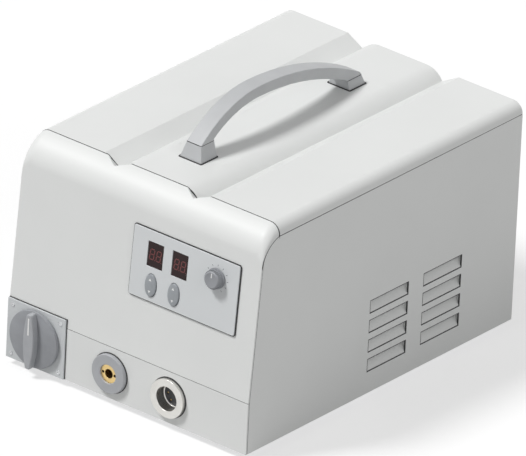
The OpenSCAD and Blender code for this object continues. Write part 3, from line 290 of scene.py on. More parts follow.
def onCircle(tree, angle, radius, **rise):
    u = calc(tree, "MULTIPLY", calc(tree, "COSINE", angle), radius)
    v = calc(tree, "MULTIPLY", calc(tree, "SINE", angle), radius)
    return joined(tree, X=u, Y=v, **rise)


def endTree(tree, geometry, given, end):
    real = addNode(tree, "GeometryNodeRealizeInstances", {"Geometry": geometry}).outputs[0]
    coloured = addNode(tree, "GeometryNodeSetMaterial", {"Geometry": real, "Material": given["Material"]})
    tree.links.new(coloured.outputs[0], end.inputs[0])
    return tree


def endWithCopies(tree, given, end, count, place, **turn):
    spots = addNode(tree, "GeometryNodePoints", {"Count": count, "Position": place}).outputs[0]
    item = addNode(tree, "GeometryNodeObjectInfo", {"Object": given["Item"]}).outputs["Geometry"]
    copies = addNode(tree, "GeometryNodeInstanceOnPoints", {"Points": spots, "Instance": item, **turn})
    return endTree(tree, copies.outputs[0], given, end)


def ringTree():
    tree, given, end = newTree("ringOfCopies", {"Count": 6, "Radius": 10.0, "Start": 0.0, "Sweep": 2 * pi})
    index = addNode(tree, "GeometryNodeInputIndex").outputs[0]
    share = calc(tree, "DIVIDE", index, given["Count"])
    angle = calc(tree, "ADD", calc(tree, "MULTIPLY", share, given["Sweep"]), given["Start"])
    turn = addNode(tree, "FunctionNodeEulerToRotation", {"Euler": joined(tree, Z=angle)}).outputs[0]
    return endWithCopies(tree, given, end, given["Count"], onCircle(tree, angle, given["Radius"]),
        Rotation=turn)


def gridTree():
    tree, given, end = newTree("gridOfCopies",
        {"Columns": 2, "Rows": 2, "Column pitch": 10.0, "Row pitch": 10.0})
    columns, rows = given["Columns"], given["Rows"]
    index = addNode(tree, "GeometryNodeInputIndex").outputs[0]
    column = calc(tree, "MODULO", index, columns)
    nudge = 0.01  # against rounding
    row = calc(tree, "FLOOR", calc(tree, "DIVIDE", calc(tree, "ADD", index, nudge), columns))
    offsets = []
    for number, count, pitch in ((column, columns, "Column pitch"), (row, rows, "Row pitch")):
        middle = calc(tree, "MULTIPLY", calc(tree, "SUBTRACT", count, 1.0), 0.5)
        offsets.append(calc(tree, "MULTIPLY", calc(tree, "SUBTRACT", number, middle), given[pitch]))
    total, place = calc(tree, "MULTIPLY", columns, rows), joined(tree, X=offsets[0], Y=offsets[1])
    return endWithCopies(tree, given, end, total, place)


def coilTree():
    sizes = {"Turns": 10.0, "Radius": 5.0, "Pitch": 1.0, "Wire radius": 0.5, "Steps per turn": 24,
        "Wire sides": 6}
    tree, given, end = newTree("coil", sizes, item=False)
    steps = given["Steps per turn"]
    count = calc(tree, "ADD", calc(tree, "MULTIPLY", given["Turns"], steps), 1.0)
    line = addNode(tree, "GeometryNodeCurvePrimitiveLine").outputs[0]
    line = addNode(tree, "GeometryNodeResampleCurve", {"Curve": line, "Count": count}).outputs[0]
    turn = calc(tree, "DIVIDE", addNode(tree, "GeometryNodeInputIndex").outputs[0], steps)
    angle, rise = calc(tree, "MULTIPLY", turn, 2 * pi), calc(tree, "MULTIPLY", turn, given["Pitch"])
    place = onCircle(tree, angle, given["Radius"], Z=rise)
    wound = addNode(tree, "GeometryNodeSetPosition", {"Geometry": line, "Position": place}).outputs[0]
    section = {"Resolution": given["Wire sides"], "Radius": given["Wire radius"]}
    section = addNode(tree, "GeometryNodeCurvePrimitiveCircle", section).outputs[0]
    section = {"Curve": wound, "Profile Curve": section, "Fill Caps": True}
    return endTree(tree, addNode(tree, "GeometryNodeCurveToMesh", section).outputs[0], given, end)


trees = {"ring": ringTree(), "grid": gridTree(), "coil": coilTree()}


def repeated(name, kind, sizes, place, item, finish, body="casing", replaced=()):
    holder = newObject(name, bpy.data.meshes.new(name))
    modifier = holder.modifiers.new("copies", "NODES")
    modifier.node_group = trees[kind]
    values = dict(sizes, Material=finishes[finish])
    if item:
        values["Item"] = item
    for socket in trees[kind].interface.items_tree:
        if socket.in_out == "INPUT" and socket.name in values:
            modifier[socket.identifier] = values[socket.name]
    settle(holder)
    holder.data.transform(place)
    if item:
        bpy.data.objects.remove(item)
    return finishPiece(shadeByAngle(holder), finish, body, replaced)


def gridSizes(columns, rows, pitch):
    return {"Columns": columns, "Rows": rows, "Column pitch": float(pitch[0]), "Row pitch": float(pitch[1])}


def turnedItem(name, profile, steps):
    bm = bmesh.new()
    addLathe(bm, profile, steps)
    return pieceFrom(name, bm)


def cutItem(name, outline, low, high):
    bm = bmesh.new()
    addPrism(bm, outline, low, high)
    return pieceFrom(name, bm)


# Finishes
def startMaterial(name):
    material = bpy.data.materials.new(name)
    material.use_nodes = True
    tree = material.node_tree
    where = addNode(tree, "ShaderNodeTexCoord").outputs["Object"]
    return material, tree, tree.nodes["Principled BSDF"], where


def noise(tree, where, size, detail=2.0):  # size in millimetres
    texture = addNode(tree, "ShaderNodeTexNoise", {"Vector": where, "Scale": 1000 / size, "Detail": detail})
    return texture.outputs["Fac"]


def blendColours(tree, share, first, second):
    node = addNode(tree, "ShaderNodeMix", {"Factor": share}, data_type="RGBA")
    node.inputs[6].default_value = (*first, 1)
    node.inputs[7].default_value = (*second, 1)
    return node.outputs[2]


def spread(tree, value, low, high, start=0.3, stop=0.7):
    return addNode(tree, "ShaderNodeMapRange", {"Value": value, "From Min": start, "From Max": stop,
        "To Min": low, "To Max": high}).outputs[0]


def bumped(tree, shader, height, strength, depth, before=None):  # depth in millimetres
    values = {"Height": height, "Strength": strength, "Distance": depth / 1000}
    if before:
        values["Normal"] = before
    normal = addNode(tree, "ShaderNodeBump", values).outputs[0]
    feed(tree, shader, {"Normal": normal})
    return normal


# A paint, plastic, rubber or metal: a mottled colour, an uneven sheen and one or two grains
def makeFinish(name, colour, rough, metal, mottle, share, grain, depth, wave=None, coat=0, level=0.5):
    material, tree, shader, where = startMaterial(name)
    sheen = 0.05
    cloud = noise(tree, where, mottle, 3)
    darker = [c * (1 - share) for c in colour]
    lighter = [min(1, c * (1 + share)) for c in colour]
    fine = noise(tree, where, grain, 2)
    feed(tree, shader, {"Base Color": blendColours(tree, spread(tree, cloud, 0, 1), darker, lighter),
        "Roughness": spread(tree, fine, rough - sheen, rough + sheen), "Metallic": metal,
        "Coat Weight": coat, "Specular IOR Level": level})
    normal = bumped(tree, shader, fine, 0.5, depth)
    if wave:
        bumped(tree, shader, noise(tree, where, wave[0], 1), 0.5, wave[1], normal)
    material.diffuse_color = (*colour, 1)
    return material


zinc = {"colour": (0.66, 0.67, 0.68), "dark": 0.88, "rough": 0.36, "uneven": 0.08, "cells": 90.0,
    "grain": (0.6, 0.02)}
segment = {"colour": (0.16, 0.03, 0.03), "dark": 0.85, "rough": 0.35, "glow": 0.02, "mottle": 1.2}


def makeZincSheet():  # spangled zinc coat
    material, tree, shader, where = startMaterial("zincSheet")
    cells = addNode(tree, "ShaderNodeTexVoronoi", {"Vector": where, "Scale": zinc["cells"],
        "Randomness": 1.0})
    tone = addNode(tree, "ShaderNodeSeparateColor", {0: cells.outputs["Color"]}).outputs[0]
    colour, rough, uneven = pick(zinc, "colour rough uneven")
    feed(tree, shader, {"Base Color": blendColours(tree, tone, [c * zinc["dark"] for c in colour], colour),
        "Roughness": spread(tree, tone, rough - uneven, rough + uneven, 0, 1), "Metallic": 1})
    bumped(tree, shader, noise(tree, where, zinc["grain"][0], 2), 0.3, zinc["grain"][1])
    return material


# The bars' faint emission is a painted glow: the display is off
def makeUnlitSegment():  # a display's bars while it is off
    material, tree, shader, where = startMaterial("segmentDim")
    colour = segment["colour"]
    cloud = noise(tree, where, segment["mottle"], 1)
    feed(tree, shader, {
        "Base Color": blendColours(tree, cloud, [c * segment["dark"] for c in colour], colour),
        "Emission Color": (*colour, 1), "Emission Strength": segment["glow"],
        "Roughness": segment["rough"]})
    return material


# Colour, roughness, metal, mottle (size and strength), grain (size and depth), with sizes in millimetres
finishTable = {
    "casingPaint": ((0.80, 0.81, 0.80), 0.42, 0, 90, 0.012, 0.9, 0.05),
    "frontPaint": ((0.80, 0.81, 0.80), 0.46, 0, 70, 0.012, 0.7, 0.05),
    "plateGrey": ((0.62, 0.64, 0.65), 0.42, 0, 30, 0.02, 0.5, 0.04),
    "panelFilm": ((0.70, 0.72, 0.73), 0.38, 0, 50, 0.01, 0.35, 0.03),
    "handleGrip": ((0.50, 0.51, 0.52), 0.5, 0, 25, 0.03, 0.6, 0.07),
    "rubber": ((0.045, 0.045, 0.047), 0.75, 0, 12, 0.12, 0.6, 0.06),
    # painted shade: a black for thin strips, rings and frames put into seams, joints and slot edges where
    # only shadow would show
    "gasket": ((0.03, 0.03, 0.032), 0.7, 0, 8, 0.1, 0.5, 0.04),
    "screwSteel": ((0.58, 0.59, 0.60), 0.3, 1, 3, 0.06, 0.3, 0.02),
    "blackPlastic": ((0.045, 0.046, 0.05), 0.48, 0, 15, 0.08, 0.5, 0.06),
    "displayGlass": ((0.022, 0.008, 0.008), 0.2, 0, 10, 0.2, 3, 0.004),
    "keyGrey": ((0.33, 0.35, 0.37), 0.45, 0, 6, 0.03, 0.4, 0.04),
    "knobGrey": ((0.30, 0.31, 0.33), 0.42, 0, 12, 0.05, 0.5, 0.05),
    "knobLight": ((0.40, 0.41, 0.43), 0.4, 0, 12, 0.04, 0.5, 0.05),
    "flangeGrey": ((0.42, 0.43, 0.45), 0.45, 0, 15, 0.04, 0.5, 0.05),
    "nickel": ((0.66, 0.65, 0.62), 0.3, 1, 8, 0.04, 0.25, 0.015),
    "markWhite": ((0.85, 0.85, 0.84), 0.5, 0, 4, 0.02, 0.3, 0.02),
    "markDark": ((0.10, 0.11, 0.12), 0.5, 0, 4, 0.05, 0.3, 0.02),
    "boardGreen": ((0.03, 0.20, 0.09), 0.35, 0, 7, 0.2, 1.2, 0.05),
    "brass": ((0.72, 0.53, 0.24), 0.3, 1, 6, 0.05, 0.25, 0.015),
    "castAlloy": ((0.60, 0.61, 0.62), 0.45, 0.9, 9, 0.06, 0.9, 0.08),
    "motorPaint": ((0.055, 0.056, 0.06), 0.35, 0, 20, 0.08, 1.1, 0.06),
    "steel": ((0.70, 0.70, 0.71), 0.26, 1, 5, 0.05, 0.2, 0.01),
    "knobOrange": ((0.72, 0.17, 0.05), 0.4, 0, 8, 0.05, 0.4, 0.05),
    "spoolPlastic": ((0.08, 0.08, 0.09), 0.5, 0, 25, 0.06, 0.8, 0.06),
    "copperWire": ((0.74, 0.43, 0.27), 0.28, 1, 4, 0.08, 0.3, 0.02),
    "buttonGreen": ((0.04, 0.36, 0.13), 0.25, 0, 6, 0.04, 0.6, 0.02),
    "buttonRed": ((0.60, 0.05, 0.04), 0.25, 0, 6, 0.04, 0.6, 0.02),
    "hoseBlack": ((0.035, 0.035, 0.037), 0.5, 0, 10, 0.1, 0.7, 0.04),
    "foam": ((0.11, 0.11, 0.115), 0.9, 0, 6, 0.1, 1.6, 0.35),
}
finishExtras = {"castAlloy": {"wave": (6, 0.08)}, "displayGlass": {"level": 0.25},
    "buttonGreen": {"coat": 0.4}, "buttonRed": {"coat": 0.4}}
finishes = {name: makeFinish(name, *row, **finishExtras.get(name, {})) for name, row in finishTable.items()}
finishes.update(zincSheet=makeZincSheet(), segmentDim=makeUnlitSegment())
print("finishes made:", len(finishes))

benchPlace = Matrix.Translation(spot(0, 0, 0)) @ Matrix.Scale(0.001, 4)


# One turned, cut or ring-shaped piece in millimetres, set in its place
def turned(name, profile, place, finish, body="casing", replaced=(), steps=64, closed=False):
    bm = bmesh.new()
    addLathe(bm, profile, steps, closed)
    return finishPiece(shadeByAngle(pieceFrom(name, bm, place)), finish, body, replaced)


def cut(name, prisms, place, finish, body="casing", edge=0, replaced=(), slot=None):
    bm = bmesh.new()
    for outline, low, high in prisms:
        addPrism(bm, outline, low, high)
    return finishPiece(addBevel(pieceFrom(name, bm, place), edge), finish, body, replaced)


def ringed(name, outer, inner, low, high, place, finish, edge=0, replaced=()):
    bm = bmesh.new()
    addFrame(bm, outer, inner, low, high)
    return finishPiece(addBevel(pieceFrom(name, bm, place), edge), finish, "casing", replaced)


# Sheets, covers and other solids that keep their form and get broken edges: node, piece, finish, edge
eased = (
    ("front_panel", "frontShell", "frontPaint", 0.15),
    ("connector_band", "socketBand", "frontPaint", 0.25),
    ("top_cover", "topShell", "casingPaint", 0.35),
    ("side_cover", "louvredSide", "casingPaint", 0),
    ("left_frame", "doorFrame", "casingPaint", 0.3),
    ("rear_panel", "rearSheet", "casingPaint", 0.3),
    ("door", "doorSheet", "casingPaint", 0.25),
    ("base_tray", "trayPan", "zincSheet", 0.18),
    ("centre_wall", "innerWall", "zincSheet", 0.18),
    ("handle", "carryHandle", "handleGrip", 1.0),
    ("feet", "rubberFeet", "rubber", 1.05),
    ("hinge_pins", "doorPins", "steel", 0.3),
    ("latch_upper", "upperLatch", "blackPlastic", 0.17),
    ("latch_lower", "lowerLatch", "blackPlastic", 0.17),
    ("switch_plate", "switchPlate", "plateGrey", 0.35),
    ("switch_body", "switchBlock", "blackPlastic", 0.6),
    ("control_panel", "controlPlate", "panelFilm", 0.4),
    ("potentiometer", "dialPot", "steel", 0.3),
    ("torch_flange", "torchFlange", "flangeGrey", 0.9),
    ("torch_core", "torchCore", "brass", 0.15),
    ("torch_nut", "torchNut", "blackPlastic", 0.16),
    ("remote_socket", "remoteShell", "nickel", 0.52),
    ("remote_insert", "remoteInsert", "blackPlastic", 0.25),
    ("drive_plate", "drivePlate", "castAlloy", 0.25),
    ("gearbox", "gearHousing", "castAlloy", 0.75),
    ("motor", "driveMotor", "motorPaint", 0.33),
    ("output_shaft", "outputShaft", "steel", 0.3),
    ("drive_roll", "driveRoll", "steel", 0.3),
    ("drive_gear", "driveGear", "steel", 0.12),
    ("pressure_arm", "pressureArm", "castAlloy", 0.12),
    ("pressure_roll", "pressureRoll", "steel", 0.3),
    ("pressure_gear", "pressureGear", "steel", 0.12),
    ("drive_pins", "drivePins", "steel", 0.35),
    ("tension_lever", "tensionBolt", "steel", 0.15),
    ("wire_guides", "wireGuides", "brass", 0),
    ("spindle", "spoolSpindle", "steel", 0.7),
    ("spool_hub", "spoolHub", "blackPlastic", 0.06),
    ("spool", "wireSpool", "spoolPlastic", 0.4),
    ("button_block", "buttonBlocks", "blackPlastic", 0.25),
    ("inch_button", "inchButton", "buttonGreen", 0.8),
    ("purge_button", "purgeButton", "buttonRed", 0.8))
# The angles from which a fold is broken and from which it shows, where they aren't 40 and 50
foldAngles = {"top_cover": (22, 22), "front_panel": (40, 22), "handle": (20, 50), "torch_core": (80, 50),
    "tension_lever": (80, 50)}
for node, name, finish, edge in eased:
    easedCopy(node, name, finish, edge, *foldAngles.get(node, ()))
print("covers and eased solids made")

# Casing measures that the seams follow: sheet edges, nose, grooves, switch plate
casing = {"size": (310, 418, 242), "edgeRadius": 12, "noseRadius": 34, "noseEnd": 75, "frontThick": 2,
    "seam": 0.5, "seamBehind": 36.82, "notchTilt": 34, "notchStart": 2, "flat": 31, "bottom": 51, "lip": 72,
    "grooveDepth": 11.5}
# Black strips put into the seams as painted shade lines, where a gap would only show shadow: the one over
# the top, those along the sides, and boxes around the band and the plate
seamShade = {"proud": 0.2, "deep": 3, "width": 0.9, "side": (0.12, 1.3), "frontEdge": (-0.05, 0.65), "foot": 0.4,
    "noseLift": 0.1, "noseWidth": 0.75, "noseBlend": 0.15, "noseSteps": 20, "creaseEdge": (-0.75, 0.25),
    "creaseEnds": (1, 0.6),
    "boxes": ((75.6, 309.7, 0.12, 1.8, 56.38, 57.12), (74.9, 75.62, -0.5, 1.8, 0.3, 66.62),
        (0.3, 75.6, -0.4, 1.8, 65.9, 66.62))}


# The top's outline from the middle to the right edge, where the notches of the nose stand over the grooves
def topOutline():
    flat, bottom, lip, depth = pick(casing, "flat bottom lip grooveDepth")
    tilt, high, r = radians(casing["notchTilt"]), casing["size"][2], casing["edgeRadius"]
    low = high - depth + (casing["notchStart"] + (seamShade["width"] - casing["seam"]) / 2) * tan(tilt)
    shoulder = ((bottom - flat) ** 2 + depth ** 2) / (2 * depth)
    half = [(0, high), (flat, high)]
    for i in range(1, 9):
        x = flat + (bottom - flat) * i / 8
        notch = low + depth / cos(tilt) * (bottom - x) / (bottom - flat)
        half.append((x, max(min(high, notch), high - shoulder + sqrt(shoulder ** 2 - (x - flat) ** 2))))
    half += [(bottom + (lip - bottom) * (high - low) * cos(tilt) / depth, high)]
    half += [(casing["size"][0] / 2 - r + r * cos(a), high - r + r * sin(a))
        for a in (radians(90 - 15 * i) for i in range(7))]
    return half


# Near and far edge (y, z) of the strip behind the front's side edge, from the foot up
def noseRows(crease):
    t, r, lean = casing["frontThick"], casing["noseRadius"], bench["lean"]
    near, far = (t + d for d in seamShade["frontEdge"])
    rows = [((near, z), (far, z)) for z in (seamShade["foot"], bench["bandHeight"])]
    noseEnd = radians(casing["noseEnd"])
    noseZ = crease - r * sin(noseEnd)
    noseY = (noseZ - bench["bandHeight"]) * tan(lean) + r / cos(lean)
    blend, steps = pick(seamShade, "noseBlend noseSteps")
    for i in range(steps + 1):
        a = lean + (noseEnd - lean) * i / steps
        outer = r - t * blend / hypot(blend, sin(a - lean)) + seamShade["noseLift"]
        rows.append(tuple((noseY - rr * cos(a), noseZ + rr * sin(a))
            for rr in (outer, outer - seamShade["noseWidth"])))
    return rows


# The seam strips are painted shade: black lines standing slightly proud where the gaps would be shadowed
def makeSeamShades():
    bm = bmesh.new()
    wide, long, high = casing["size"]
    half = topOutline()
    line = [(-x, z) for x, z in half[:0:-1]] + half
    y0 = casing["seamBehind"] - (seamShade["width"] - casing["seam"]) / 2
    y1, up, down = y0 + seamShade["width"], seamShade["proud"], -seamShade["deep"]
    addBar(bm, [[(wide / 2 + x, y, z + dz) for y, dz in ((y0, up), (y1, up), (y1, down), (y0, down))]
        for x, z in line])
    crease = high - casing["edgeRadius"]
    (inset, reach), (low, top), (start, stop) = pick(seamShade, "side creaseEdge creaseEnds")
    for x0, x1 in ((inset, reach), (wide - reach, wide - inset)):
        addBar(bm, [[(x0, *near), (x1, *near), (x1, *far), (x0, *far)] for near, far in noseRows(crease)])
        addBar(bm, [[(x0, y, crease + low), (x1, y, crease + low), (x1, y, crease + top),
            (x0, y, crease + top)] for y in (casing["seamBehind"] + start, long - stop)])
    for x0, x1, y0, y1, z0, z1 in seamShade["boxes"]:
        addBar(bm, [[(x, y0, z0), (x, y1, z0), (x, y1, z1), (x, y0, z1)] for x in (x0, x1)])
    return finishPiece(addBevel(pieceFrom("sheetSeals", bm, benchPlace), 0), "gasket")


makeSeamShades()

# Louvres: a black frame in each slot as a painted shadow outline, and cheeks that close the ends of its
# blade
louvre = {"side": 310, "middle": (259.5, 64), "slot": (61, 15), "pitch": (84.0, 21.8), "columns": 2,
    "rows": 4, "shadeFrame": 1.0, "shadeFrameDepth": (-1.4, -0.2), "cheek": 1.0, "sheet": 1.5, "blade": (0.75, 30)}


def makeLouvres():
    w, h = louvre["slot"]
    t = louvre["shadeFrame"]
    sizes = gridSizes(louvre["columns"], louvre["rows"], louvre["pitch"])
    place = placeAt(louvre["side"], *louvre["middle"], (0, 1, 0), (0, 0, 1))
    bm = bmesh.new()
    addFrame(bm, rect(w, h), rect(w - 2 * t, h - 2 * t), *louvre["shadeFrameDepth"])
    repeated("louvreTrim", "grid", sizes, place, pieceFrom("slotTrim", bm), "gasket")
    start, tilt = louvre["blade"]
    deep = start + (h - louvre["sheet"]) * tan(radians(tilt))
    bm = bmesh.new()
    for side in (-1, 1):
        near, far = sorted((side * w / 2, side * (w / 2 + louvre["cheek"])))
        corners = [(-start, -h / 2), (-start, h / 2), (-deep, h / 2)]
        addBar(bm, [[(u, v, d) for d, v in corners] for u in (near, far)])
    repeated("louvreCheeks", "grid", sizes, place, pieceFrom("slotCheeks", bm), "casingPaint")


makeLouvres()

# Carrying handle: black rings under its feet and around the joints between the grip and the feet, as
# painted shade lines
handle = {"middle": (155, 242), "foot": (28, 25), "feet": {"Front": 96.5, "Rear": 328.5}, "gasket": 1.1,
    "shadeLineHeight": 0.6, "line": 0.45, "lineProud": 0.3,
    "lines": {"front": (19.1, 88.4, 109, 16.7), "rear": (21.0, 316, 338.6, 9.4)}}  # width, y, y, rise


def topPlace(y, rise=0):
    x, z = handle["middle"]
    return placeAt(x, y, z + rise, (1, 0, 0), (0, 1, 0))


for end, y in handle["feet"].items():
    (w, l), g = pick(handle, "foot gasket")
    ringed("handleGasket" + end, roundedOutline(w + 2 * g, l + 2 * g, 1.5), roundedOutline(w - 4, l - 4, 1),
        0, handle["shadeLineHeight"], topPlace(y), "gasket")
for end, (w, near, far, rise) in handle["lines"].items():
    l, g = far - near, handle["lineProud"]
    ringed(end + "HandleLine", roundedOutline(w + g, l + g, 1.5), roundedOutline(w - 2, l - 2, 1), 0,
        handle["line"], topPlace((near + far) / 2, rise), "gasket")
print("seams, louvres and handle joints made")

# Rotary mode switch: disc, lens-shaped grip, pointer line and four plate screws
switch = {"centre": (37.5, 33), "base": 2.5, "plate": 2, "discRadius": 31, "disc": 4, "height": 12,
    "grip": 13, "lens": 40, "gripEdge": 1.2, "stem": 4, "stemLength": 12, "pointer": (1.8, 19),
    "pointerInset": 4.5, "screws": (62, 54), "screw": (2.4, 0.9)}


def lensOutline(radius, width, cut, steps=24):
    lens = (radius ** 2 + width ** 2 / 4) / width
    side = [(sqrt(lens ** 2 - v ** 2) - lens + width / 2, v)
        for v in (cut * (2 * i / steps - 1) for i in range(steps + 1))]
    return side + [(-u, v) for u, v in side[::-1]]


def makeSwitchKnob():
    place = frontPlace(*switch["centre"], -switch["base"])
    r, t, stem, long = pick(switch, "discRadius disc stem stemLength")
    bm = bmesh.new()
    addLathe(bm, [(0, 0), (r - 0.4, 0), (r, 0.4), (r, t - 1.1), (r - 0.3, t - 0.35), (r - 1.1, t), (0, t)],
        96)
    addLathe(bm, [(0, -long), (stem, -long), (stem, 0.5), (0, 0.5)], 32)
    disc = shadeByAngle(pieceFrom("switchDisc", bm, place))
    finishPiece(disc, "knobGrey", "mode_switch", ["switch_knob"])
    top = switch["height"] - 0.25
    cut("switchGrip", [(lensOutline(switch["lens"], switch["grip"], r - 0.8), t - 1, top)], place,
        "knobLight", "mode_switch", switch["gripEdge"], ["switch_knob"])
    w, h = switch["pointer"]
    line = roundedOutline(w, h, 0.8, (0, r - switch["pointerInset"] - h / 2))
    cut("switchPointer", [(line, top - 0.3, top + 0.22)], place, "markWhite", "mode_switch", 0.1,
        slot="knob_grey")


def screwItem(name, head, height):  # pan head with a hexagon recess
    return turnedItem(name, [(0, 0.35 * height), (head * 0.36, 0.35 * height), (head * 0.38, 0.9 * height),
        (head * 0.62, height), (head * 0.9, 0.72 * height), (head, 0.3 * height), (head, -0.2), (0, -0.2)],
        18)


makeSwitchKnob()
repeated("switchPlateScrews", "grid", gridSizes(2, 2, switch["screws"]),
    frontPlace(*switch["centre"], -switch["plate"]), screwItem("plateScrew", *switch["screw"]),
    "screwSteel")
print("mode switch made")

# Control panel: a black frame around the plate as a painted shadow outline, displays with their digits,
# keys, adjusting knob with its scale
panel = {"middle": (217, 159.5), "size": (136, 75), "corner": 2, "top": 2.2, "gasket": 1.0,
    "shadeLineDepth": (0.02, 1.1)}
display = {"nodes": {"display_left": 178.25, "display_right": 209.75}, "window": (20, 27), "rise": 12.5,
    "top": 1.6, "glassDepth": -2.6, "module": (-8, -2.3), "moduleRim": 4, "digit": (5.2, 11), "bar": 1.1,
    "barGap": 0.25, "slant": 0.12, "digits": (-4.4, 4.0), "shift": 0.6, "dot": (0.55, 3.6, 0.1),
    "barDepth": (-0.2, 0.06)}
key = {"nodes": {"key_left": 176.5, "key_right": 206}, "size": (14, 24), "drop": 20, "top": 4.5,
    "dome": 1.4, "stem": 3, "stemDepth": -6, "pivot": 1.2, "pivotReach": 3, "pivotDepth": -3,
    "arrow": (1.7, 5.2, 7.9), "arrowDepth": (-0.65, -0.12)}
knob = {"x": 257.5, "rise": 16, "radius": 11, "height": 9, "gap": 0.5, "stem": 3, "ridges": 30, "ticks": 11,
    "tickCircle": 2.6, "tickStart": -60, "tickSweep": 330}


def panelPlace(x=panel["middle"][0], rise=0):
    return leanPlace(x, panel["middle"][1]) @ Matrix.Translation((0, rise, 0))


# A black frame a little wider than the plate: painted shade along its edge
(w, h), g = pick(panel, "size gasket")
ringed("panelGasket", roundedOutline(w + 2 * g, h + 2 * g, panel["corner"] + g),
    roundedOutline(w - 5, h - 5, 1), *panel["shadeLineDepth"], panelPlace(), "gasket")


def segmentPoints(name):  # one bar of a seven-segment digit, slanted a little
    width, height = display["digit"]
    halfW, halfH, t = width / 2, height / 2, display["bar"] / 2
    places = {"a": (0, 2 * halfH, 0), "g": (0, halfH, 0), "d": (0, 0, 0), "f": (-halfW, 1.5 * halfH, 1),
        "b": (halfW, 1.5 * halfH, 1), "e": (-halfW, 0.5 * halfH, 1), "c": (halfW, 0.5 * halfH, 1)}
    cu, cv, upright = places[name]
    length = (halfH if upright else width) / 2 - display["barGap"]
    bar = [(-length, 0), (-length + t, -t), (length - t, -t), (length, 0), (length - t, t),
        (-length + t, t)]
    points = [(cu + (y if upright else x), cv + (x if upright else y)) for x, y in bar]
    points = points[::-1] if upright else points
    return [(u + display["slant"] * v, v) for u, v in points]


def makeDisplay(node, x):
    place, rise, top = panelPlace(x), display["rise"], display["top"]
    w, h = (s - 0.5 for s in display["window"])
    rim, middle = display["moduleRim"], (0, rise)
    cut(node + "Glass", [(roundedOutline(w, h, 0.4, middle, 3), display["glassDepth"], top)], place,
        "displayGlass", edge=0.2, replaced=[node])
    cut(node + "Module", [(roundedOutline(w + rim, h + rim, 1, middle, 3), *display["module"])], place,
        "blackPlastic", edge=0.3, replaced=[node], slot="display_dark")
    low, high = (top + d for d in display["barDepth"])
    foot = rise - display["digit"][1] / 2
    dot, right, drop = display["dot"]
    bars = []
    for digit in display["digits"]:
        for name in "abcdefg":
            bars.append(([(u + digit - display["shift"], v + foot) for u, v in segmentPoints(name)],
                low, high))
        bars.append((circle(dot, 12, (digit + right, foot - drop)), low, high))
    cut(node + "Segments", bars, place, "segmentDim")


for node, x in display["nodes"].items():
    makeDisplay(node, x)


def addDome(bm, outline, low, high, dome, rings=4):  # a button with a domed top on an outline
    levels = [(1, low)]
    for i in range(rings + 1):
        a = pi / 2 * i / rings
        levels.append((1 - 0.12 * (1 - cos(a)), high - dome + 0.55 * dome * sin(a)))
    levels += [(0.6, high - 0.15 * dome), (0.3, high - 0.03 * dome)]
    rows = [[bm.verts.new((u * scale, v * scale, w)) for u, v in outline] for scale, w in levels]
    for near, far in zip(rows, rows[1:]):
        bridge(bm, near, far)
    centre, top = bm.verts.new((0, 0, high)), rows[-1]
    for i in range(len(top)):
        bm.faces.new((top[i], top[(i + 1) % len(top)], centre))
    bm.faces.new(rows[0][::-1])


def makeKey(node, x):  # the key's body has its node's name
    place = panelPlace(x, -key["drop"])
    w, h = key["size"]
    stem, deep, reach = pick(key, "stem stemDepth pivotReach")
    bm = bmesh.new()
    addDome(bm, oval(w, h, 48), -0.5, key["top"], key["dome"])
    addLathe(bm, [(0, deep), (stem, deep), (stem, 0), (0, 0)], 24)
    finishPiece(shadeByAngle(pieceFrom(node + "Cap", bm, place), 40), "keyGrey", node, [node])
    pivot = (place @ Matrix.Translation((-w / 2 - reach, 0, key["pivotDepth"]))
        @ Matrix.Rotation(pi / 2, 4, "Y"))
    r, long = key["pivot"], w + 2 * reach
    turned(node + "Pivot", [(0, 0), (r, 0), (r, long), (0, long)], pivot, "keyGrey", node, steps=20)
    half, near, tip = key["arrow"]
    low, high = (key["top"] + d for d in key["arrowDepth"])
    marks = [([(-half, s * near), (half, s * near), (0, s * tip)][::s], low, high) for s in (1, -1)]
    cut(node + "Arrows", marks, place, "markWhite", node, slot="key_grey")


for node, x in key["nodes"].items():
    makeKey(node, x)


def makeAdjustKnob():
    place = panelPlace(knob["x"], knob["rise"])
    r, low, stem = knob["radius"], panel["top"] + knob["gap"], knob["stem"]
    top = low + knob["height"]
    turned("adjustKnobBody", [(0, low), (r - 0.5, low), (r - 0.1, low + 0.4), (r - 0.1, low + 1.6),
        (r - 1.3, low + 1.9), (r - 1.9, top - 1.2), (r - 2.7, top - 0.25), (r - 3.5, top),
        (r - 4.2, top - 0.3), (0, top - 0.35)], place, "knobGrey", "adjust_knob", ["adjust_knob"], 72)
    turned("adjustKnobStem", [(0, -10), (stem, -10), (stem, low + 0.5), (0, low + 0.5)], place, "steel",
        "adjust_knob", ["adjust_knob"], 32)
    ridge = cutItem("knobRidge", box(-0.5, 0.4, -0.35, 0.35), low + 1.7, top - 1.3)
    repeated("adjustKnobRidges", "ring", {"Count": knob["ridges"], "Radius": r - 1.5}, place, ridge,
        "knobGrey", "adjust_knob")
    cut("adjustKnobLine", [(box(-0.6, 0.6, 2.5, r - 3.3), top - 0.5, top - 0.08)], place, "markWhite",
        "adjust_knob", slot="knob_grey")
    tick = cutItem("scaleTick", box(-0.9, 0.9, -0.25, 0.25), panel["top"] - 0.1, panel["top"] + 0.05)
    repeated("scaleTicks", "ring", {"Count": knob["ticks"], "Radius": r + knob["tickCircle"],
        "Start": radians(knob["tickStart"]), "Sweep": radians(knob["tickSweep"])}, place, tick, "markDark")


makeAdjustKnob()
print("control panel made")

